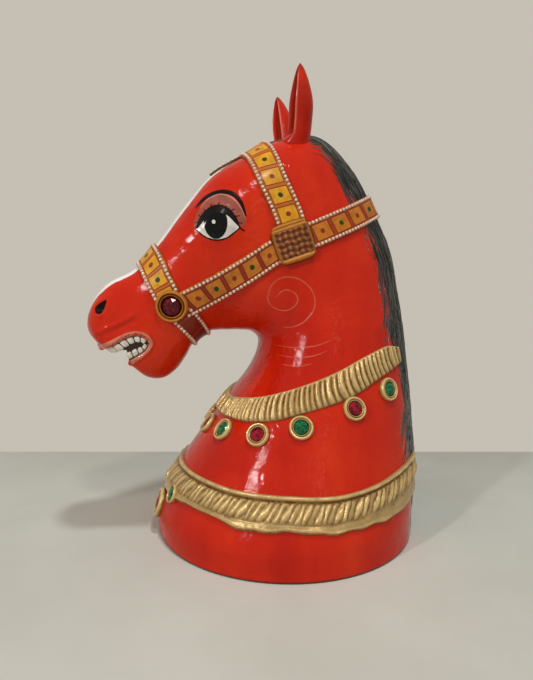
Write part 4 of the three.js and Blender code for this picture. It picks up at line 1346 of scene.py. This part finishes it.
def make_rosettes(material):
    """Padded square buttons: a net of knots between two ridges above it and a roll below it."""
    origin, normal = left_seat(ROSETTE_AT)
    level, rise = seat_axes(normal)
    cos, sin = math.cos(ROSETTE_TILT), math.sin(ROSETTE_TILT)
    first, second = cos * level + sin * rise, cos * rise - sin * level
    turn = full_turn(150)
    outward = spokes(turn, first, second)
    reach = rosette_reach(turn)
    rows = [origin + outward * reach[:, None] + normal * height for height in (-1.5, 3.0)]
    crests = [np.full(len(turn), 0.5)] * 2
    for share in np.concatenate([np.linspace(1.0, 0.06, 60), [0.02]]):
        aside = share * reach * np.cos(turn)
        above = share * reach * np.sin(turn)
        ridges = bump(above - 14, 1.2) + 0.8 * bump(above - 11, 1.0) + bump(above + 13.4, 1.8)
        inside = ease(14.2, 12.6, np.abs(aside)) * ease(10, 9, above) * ease(-12, -11, above)
        bent_aside = aside + 0.5 * np.sin(above * 0.55)
        bent_above = above + 0.5 * np.sin(aside * 0.6 + 1)
        knot = np.cos(math.pi * (bent_aside + bent_above) / 4.4)
        knot = 0.5 + 0.5 * knot * np.cos(math.pi * (bent_aside - bent_above) / 4.9)
        height = ROSETTE_HEIGHT * (0.6 + 0.2 * (1 - share ** 4)) + inside * (1.4 * knot - 0.5)
        height = height + 1.2 * ridges - 1.8 * ease(0.94, 1.0, share)
        rows.append(origin + outward * (share * reach)[:, None] + height[:, None] * normal)
        # Crest: painted highlight on knots and ridges, painted shade between them
        crests.append(np.clip(inside * 0.5 * knot ** 1.5 + (1 - inside) * (0.5 + 0.4 * ridges), 0, 1))
    pile = Pile()
    pile.add(*capped(rows), crest=np.concatenate(crests + [[0.4, 0.4]]))
    pile.build("rosette_left", material, 60, "antique_gold", "left_rosette")
    pile.mirror().build("rosette_right", material, 60, "antique_gold", "right_rosette")


# Settings and stones

def setting(seat, radius, height, stone_radius, seed):
    """A rimmed cup with a raised inner lip."""
    inner = stone_radius + 0.25
    wall = radius - inner
    rows = [(radius - wall * inwards, height * up, crest) for inwards, up, crest in SETTING_PROFILE]
    rows = [(radius * 0.98, -3.5, 0.1)] + rows + [(inner * 0.98, 1.3, 0.0), (inner * 0.5, 1.25, 0.0)]
    pile = Pile()
    crest = np.array([row[2] for row in rows])
    lathe(pile, [row[:2] for row in rows], seat, 56, 0.012, seed, crest=crest)
    return pile


def cut_stone(seat, radius, height, seed):
    """A round cut stone with a flat table, each facet with its own share of brightness."""
    origin, normal = seat
    level, rise = seat_axes(normal)
    base = STONE_FOOT - 0.2
    rings = [
        (1.0, base, 0), (1.0, STONE_FOOT + height * 0.32, 0), (0.8, STONE_FOOT + height * 0.72, 0.5),
        (0.48, STONE_FOOT + height, 0),
    ]
    corners = []
    for share, tall, shift in rings:
        turn = (np.arange(STONE_SIDES) + shift) * 2 * math.pi / STONE_SIDES
        corners.append(origin + spokes(turn, level, rise) * radius * share + normal * tall)
    girdle_foot, girdle, crown, table = corners
    top = origin + normal * (STONE_FOOT + 0.02 + height)
    bottom = origin + normal * base
    chance = random.Random(seed)
    pile = Pile()
    for j in range(STONE_SIDES):
        k = (j + 1) % STONE_SIDES
        facets = [
            [girdle_foot[j], girdle_foot[k], girdle[k], girdle[j]],
            [girdle[j], girdle[k], crown[j]],
            [crown[j], girdle[k], crown[k]],
            [crown[j], crown[k], table[k]],
            [table[j], crown[j], table[k]],
            [table[j], table[k], top],
            [girdle_foot[k], girdle_foot[j], bottom],
        ]
        for facet in facets:
            pile.add(facet, [tuple(range(len(facet)))], facet=chance.uniform(0, 1) ** 1.5)
    return pile


def make_jewels(gilt, amber):
    """All settings with their stones: along the collar, on the band, on the front and at the bit."""
    red = cut_glass("red_glass", (0.62, 0.012, 0.045), (0.10, 0.001, 0.006))
    deep_red = cut_glass("deep_red_glass", (0.24, 0.004, 0.016), (0.05, 0.001, 0.003))
    green = cut_glass("green_glass", (0.012, 0.30, 0.11), (0.001, 0.040, 0.014))
    seeds = iter(JEWEL_SEEDS)

    def jewel(name, seat, size, glass, metal, nodes, pair):
        """One setting with its stone, or a pair of them on both sides."""
        radius, height, stone_radius = size
        seed = next(seeds)
        cup = setting(seat, radius, height, stone_radius, seed)
        gem = cut_stone(seat, stone_radius, height - 1.2, seed)
        metal_slot = "antique_gold" if metal == amber else "gold_paint"
        stone_slot = "green_stone" if glass == green else "red_stone"
        for side in ("left_", "right_") if pair else ("",):
            if side == "right_":
                cup, gem = cup.mirror(), gem.mirror()
            cup.build(side + name + "_cup", metal, 50, metal_slot, side + nodes[0])
            gem.build(side + name + "_gem", glass, 0, stone_slot, side + nodes[1])

    for k, place in enumerate(COLLAR_JEWELS_AT, 1):
        nodes = (f"collar_bezel_{k}", f"collar_stone_{k}")
        jewel(f"collar_{k}", left_seat(place), JEWEL_SIZE, green if k % 2 else red, gilt, nodes, True)
    nodes = ("front_bezel", "front_stone")
    jewel("front", front_seat(FRONT_JEWEL_Z), JEWEL_SIZE, red, gilt, nodes, False)
    nodes = ("band_bezel", "band_stone")
    jewel("band", left_seat(BAND_JEWEL_AT), BAND_JEWEL_SIZE, green, gilt, nodes, True)
    nodes = ("front_pendant", "pendant_stone")
    jewel("pendant", front_seat(PENDANT_Z), PENDANT_SIZE, red, gilt, nodes, False)
    nodes = ("bit_boss", "bit_stone")
    jewel("bit", left_seat(BOSS_AT), BOSS_SIZE, deep_red, amber, nodes, True)


# Collar and foot band

def ring_grid(line, width, offsets, centre_x, end, step):
    """Skin points under a band round the neck, open at the mane, with arc lengths and half widths."""
    dense = smooth_line(line, 240)
    slope = np.hypot(1, np.gradient(dense[:, 1], dense[:, 0]))

    def hit(turn, column):
        direction = np.array([math.cos(turn), math.sin(turn), 0])
        x = centre_x
        for _ in range(5):
            z, share, lean = (np.interp(x, dense[:, 0], row) for row in (dense[:, 1], dense[:, 2], slope))
            offset = 0 if column is None else offsets(share * width / 2, x)[column]
            point, normal = leaving_hit((centre_x, 0, z + offset * lean), direction, plain_tree)
            x = point[0]
        return point, normal

    turns = np.linspace(0.05, math.pi / 2, 160)
    reach = np.array([hit(turn, None)[0][1] for turn in turns])
    first = turns[int(np.argmax(reach > end))]
    turns = np.linspace(first, 2 * math.pi - first, 240)
    middle = np.array([hit(turn, None)[0] for turn in turns])
    half = np.interp(middle[:, 0], dense[:, 0], dense[:, 2]) * width / 2
    columns = len(offsets(width / 2, 0.0))
    feet, normals = hit_grid(len(turns), columns, lambda i, j: hit(turns[i], j))
    lengths = arc_lengths(middle)
    wanted = np.linspace(0, lengths[-1], int(lengths[-1] / step) + 1)
    feet = resample(feet, lengths, wanted)
    normals = unit(resample(normals, lengths, wanted))
    return feet, normals, wanted[:, None], np.interp(wanted, lengths, half)[:, None]


def make_collar(gilt):
    """Ribbed collar with a smooth roll along its upper edge."""
    across = np.linspace(-1, 1, 27)[None, :]
    feet, normals, along, half = ring_grid(
        COLLAR_LINE, COLLAR_WIDTH, lambda half, x: half * across[0],
        centre_x=25, end=COLLAR_END, step=0.4)
    wave = waves(along, [(1.3, 0.11, 0), (0.8, 0.047, 1), (0.35, 0.61, 0)])
    total = along[-1, 0]
    closer = -0.11 * total / (2 * math.pi) * np.sin(2 * math.pi * along / total)
    phase = (along + closer + half * (0.1 * across - 0.17 * across ** 2) + wave) / COLLAR_RIB
    strong = 0.82 + 0.18 * np.sin(np.floor(phase) * 2.4)
    rib = strong * np.abs(np.cos(math.pi * phase)) ** 1.1
    between_ends = ease(0, 6, along) * ease(0, 6, along[-1] - along)
    ribbed = between_ends * ease(0.95, 0.8, across) * ease(-1, -0.88, across)
    roll = bump(across - 0.93, 0.08)
    edge = dome(np.abs(across * 0.985) ** 5)
    shape = ribbed * (0.3 + 0.62 * rib) + (1 - ribbed) * 0.5 + 0.3 * roll
    heights = GAP + COLLAR_THICKNESS * edge * np.clip(shape, 0, 1)
    # Crest: painted highlight on ribs and roll, painted shade in the grooves and at the edges
    crest = ribbed * rib * 0.95 + (1 - ribbed) * 0.45 + 0.5 * roll - 0.3 * (1 - edge)
    pile = Pile()
    slab(pile, feet, normals, heights, BAND_SINK, crest=np.clip(crest, 0, 1))
    pile.build("collar_ribbed", gilt, 70, "gold_paint", "neck_collar")


def band_offsets(half, x):
    """Columns of the foot band from its upper edge down over the rim, the rope and the uneven flange."""
    rim = np.linspace(0, BAND_RIM_WIDTH, 7)
    rope = np.linspace(BAND_ROPE_DROP, BAND_ROPE_FOOT, 17)
    foot = 2 * half + 0.7 * math.sin(x * 0.11 + 1) + 0.5 * math.sin(x * 0.29)
    flange = BAND_ROPE_FOOT + (foot - BAND_ROPE_FOOT) * np.linspace(0.06, 1, 10)
    return half - np.concatenate([rim, [BAND_RIM_WIDTH + 0.5], rope, flange])


def make_band(gilt):
    """Foot band: a round rim, a twisted rope under it and a plain flange with a lip."""
    feet, normals, along, half = ring_grid(
        BAND_LINE, BAND_WIDTH, band_offsets, centre_x=0, end=BAND_END, step=0.5)
    drop = half - np.stack([band_offsets(h, 0.0) for h in half[:, 0]])
    rim = dome(((drop - BAND_RIM_WIDTH / 2) / (BAND_RIM_WIDTH * 0.6)) ** 2)
    rim = rim * (0.86 + 0.14 * np.sin(along * 0.33 + 1) * np.sin(along * 0.13))
    rope = ease(BAND_ROPE_DROP - 0.4, BAND_ROPE_DROP + 0.5, drop)
    rope = rope * ease(BAND_ROPE_FOOT + 0.5, BAND_ROPE_FOOT - 0.5, drop)
    swell = dome(((drop - BAND_ROPE_DROP) / BAND_ROPE_WIDTH * 2 - 1) ** 2 * 0.8)
    wave = waves(along, [(1.6, 0.075, 0), (0.9, 0.031, 2), (0.6, 0.37, 0), (0.4, 0.83, 0)])
    phase = (along + math.tan(ROPE_SLANT) * drop + wave) / BAND_RIB
    strong = 0.75 + 0.25 * np.sin(np.floor(phase) * 2.1)
    strand = strong * np.abs(np.sin(math.pi * phase)) ** 0.75
    down = np.clip((drop - BAND_ROPE_FOOT) / (2 * half - BAND_ROPE_FOOT), 0, 1)
    lumps = np.sin(along * 0.21 + drop * 0.5) * np.sin(along * 0.13 - drop * 0.3 + 1)
    below_rope = ease(BAND_ROPE_FOOT - 0.5, BAND_ROPE_FOOT + 0.5, drop)
    flange = below_rope * (0.5 + 0.1 * lumps - 0.12 * bump(down - 0.15, 0.15))
    lip = 0.2 * bump(down - 0.86, 0.12) - 0.3 * ease(0.92, 1, down)
    shape = rope * (0.4 + 0.6 * swell * strand) + 0.95 * rim + flange + lip * (down > 0)
    heights = GAP + BAND_THICKNESS * np.clip(shape, 0.15, 1.0)
    # Crest: painted highlight on rope, rim and flange, painted shade in the grooves and gaps
    crest = np.clip(rope * swell * strand + 0.85 * rim + 0.9 * flange + lip, 0.14, 1)
    pile = Pile()
    slab(pile, feet, normals, heights, BAND_SINK, crest=crest)
    pile.build("foot_band_gilt", gilt, 70, "gold_paint", "foot_band")


# Stage, light and camera

def make_camera():
    """A camera a little to the front of the left side, looking slightly down."""
    data = bpy.data.cameras.new("camera")
    data.lens = CAMERA_LENS
    data.sensor_width = 36
    data.clip_start = 0.01
    camera = add_object("camera", data)
    camera.location = Vector(CAMERA_AT) * METRES
    level = math.cos(CAMERA_DOWN)
    look = Vector((math.sin(CAMERA_TURN) * level, math.cos(CAMERA_TURN) * level, -math.sin(CAMERA_DOWN)))
    aim(camera, look)
    bpy.context.scene.camera = camera


def floor_paint():
    """Plain pale floor with a faint cloud of tone."""
    m = Nodes("floor_paint")
    colour = m.mix(m.step(m.noise(6, 5), 0.3, 0.7), (0.61, 0.61, 0.54), (0.68, 0.68, 0.61))
    return m.finish(colour, 0.6, shine=0.1)


def make_floor():
    """A floor in metres, square to the camera, whose far edge lies a little behind the bust."""
    front, side = -2.6, 3.0
    forward = Vector((math.sin(CAMERA_TURN), math.cos(CAMERA_TURN), 0))
    right = Vector((forward.y, -forward.x, 0))
    eye = Vector((CAMERA_AT[0], CAMERA_AT[1], 0)) * METRES
    places = ((front, -side), (front, side), (FLOOR_BACK, side), (FLOOR_BACK, -side))
    mesh = bpy.data.meshes.new("floor")
    mesh.from_pydata([tuple(eye + forward * f + right * r) for f, r in places], [], [(0, 1, 2, 3)])
    mesh.materials.append(floor_paint())
    floor = add_object("floor", mesh)


def make_light(name, place, target, size, power, colour):
    """A flat light at a place, turned to a target."""
    data = bpy.data.lights.new(name, "AREA")
    data.shape = "RECTANGLE"
    data.size, data.size_y = size
    data.energy = power
    data.color = colour
    light = add_object(name, data)
    light.location = place
    aim(light, Vector(target) - Vector(place))
    return light


def make_lights():
    """A high key light that throws the shadow, a soft fill, and three small lights for the highlights."""
    key = make_light("key", (0.16, -0.5, 1.9), (0, 0, 0.1), (0.15, 0.15), 11.6, (0.92, 0.97, 1))
    fill = make_light("fill", (-0.45, -1.65, 0.8), (0, 0, 0.16), (1.4, 1.4), 3.2, (1, 0.95, 0.88))
    for light in (key, fill):
        light.visible_glossy = False
    make_light("window", (-0.92, -0.63, 0.75), (-0.03, -0.06, 0.14), (0.05, 0.25), 4.2, (1, 0.99, 0.97))
    make_light("lamp", (0.0, -0.95, 1.3), (0, -0.07, 0.2), (0.145, 0.145), 3.8, (1, 0.97, 0.94))
    make_light("glow", (0.16, -1.25, 0.72), (0, -0.07, 0.16), (0.06, 0.1), 0.08, (1, 0.95, 0.9))


def make_world():
    """Soft light all round, with a pale wall in sight and in reflections."""
    world = bpy.data.worlds.new("world")
    bpy.context.scene.world = world
    world.use_nodes = True
    nodes, links = world.node_tree.nodes, world.node_tree.links
    lit = nodes["Background"]
    lit.inputs["Color"].default_value = (1.0, 0.88, 0.76, 1.0)
    lit.inputs["Strength"].default_value = 0.20
    shown = nodes.new("ShaderNodeBackground")
    shown.inputs["Color"].default_value = (0.565, 0.52, 0.455, 1.0)
    path = nodes.new("ShaderNodeLightPath")
    seen = path.outputs["Is Camera Ray"]
    for ray in ("Is Glossy Ray", "Is Transmission Ray"):
        either = nodes.new("ShaderNodeMath")
        either.operation = "MAXIMUM"
        links.new(seen, either.inputs[0])
        links.new(path.outputs[ray], either.inputs[1])
        seen = either.outputs["Value"]
    mixed = nodes.new("ShaderNodeMixShader")
    links.new(seen, mixed.inputs["Fac"])
    links.new(lit.outputs["Background"], mixed.inputs[1])
    links.new(shown.outputs["Background"], mixed.inputs[2])
    links.new(mixed.outputs["Shader"], nodes["World Output"].inputs["Surface"])


make_camera()
make_world()
make_lights()
make_floor()
make_bust()
make_eyes()
make_mouth()
make_flourishes()
make_mane()
make_ears()
make_bridle()
# Each gold's bright and deep tones are its painted highlight on crests and painted shade in grooves
bright_gold = gold("gold_paint", (0.80, 0.58, 0.25), (0.18, 0.08, 0.017), 0.18, 0.38)
amber_gold = gold("amber_gold", (0.56, 0.22, 0.03), (0.12, 0.022, 0.006), 0.26, 0.25)
make_rosettes(amber_gold)
make_jewels(bright_gold, amber_gold)
make_collar(bright_gold)
make_band(bright_gold)

bpy.context.scene.view_settings.view_transform = "Standard"
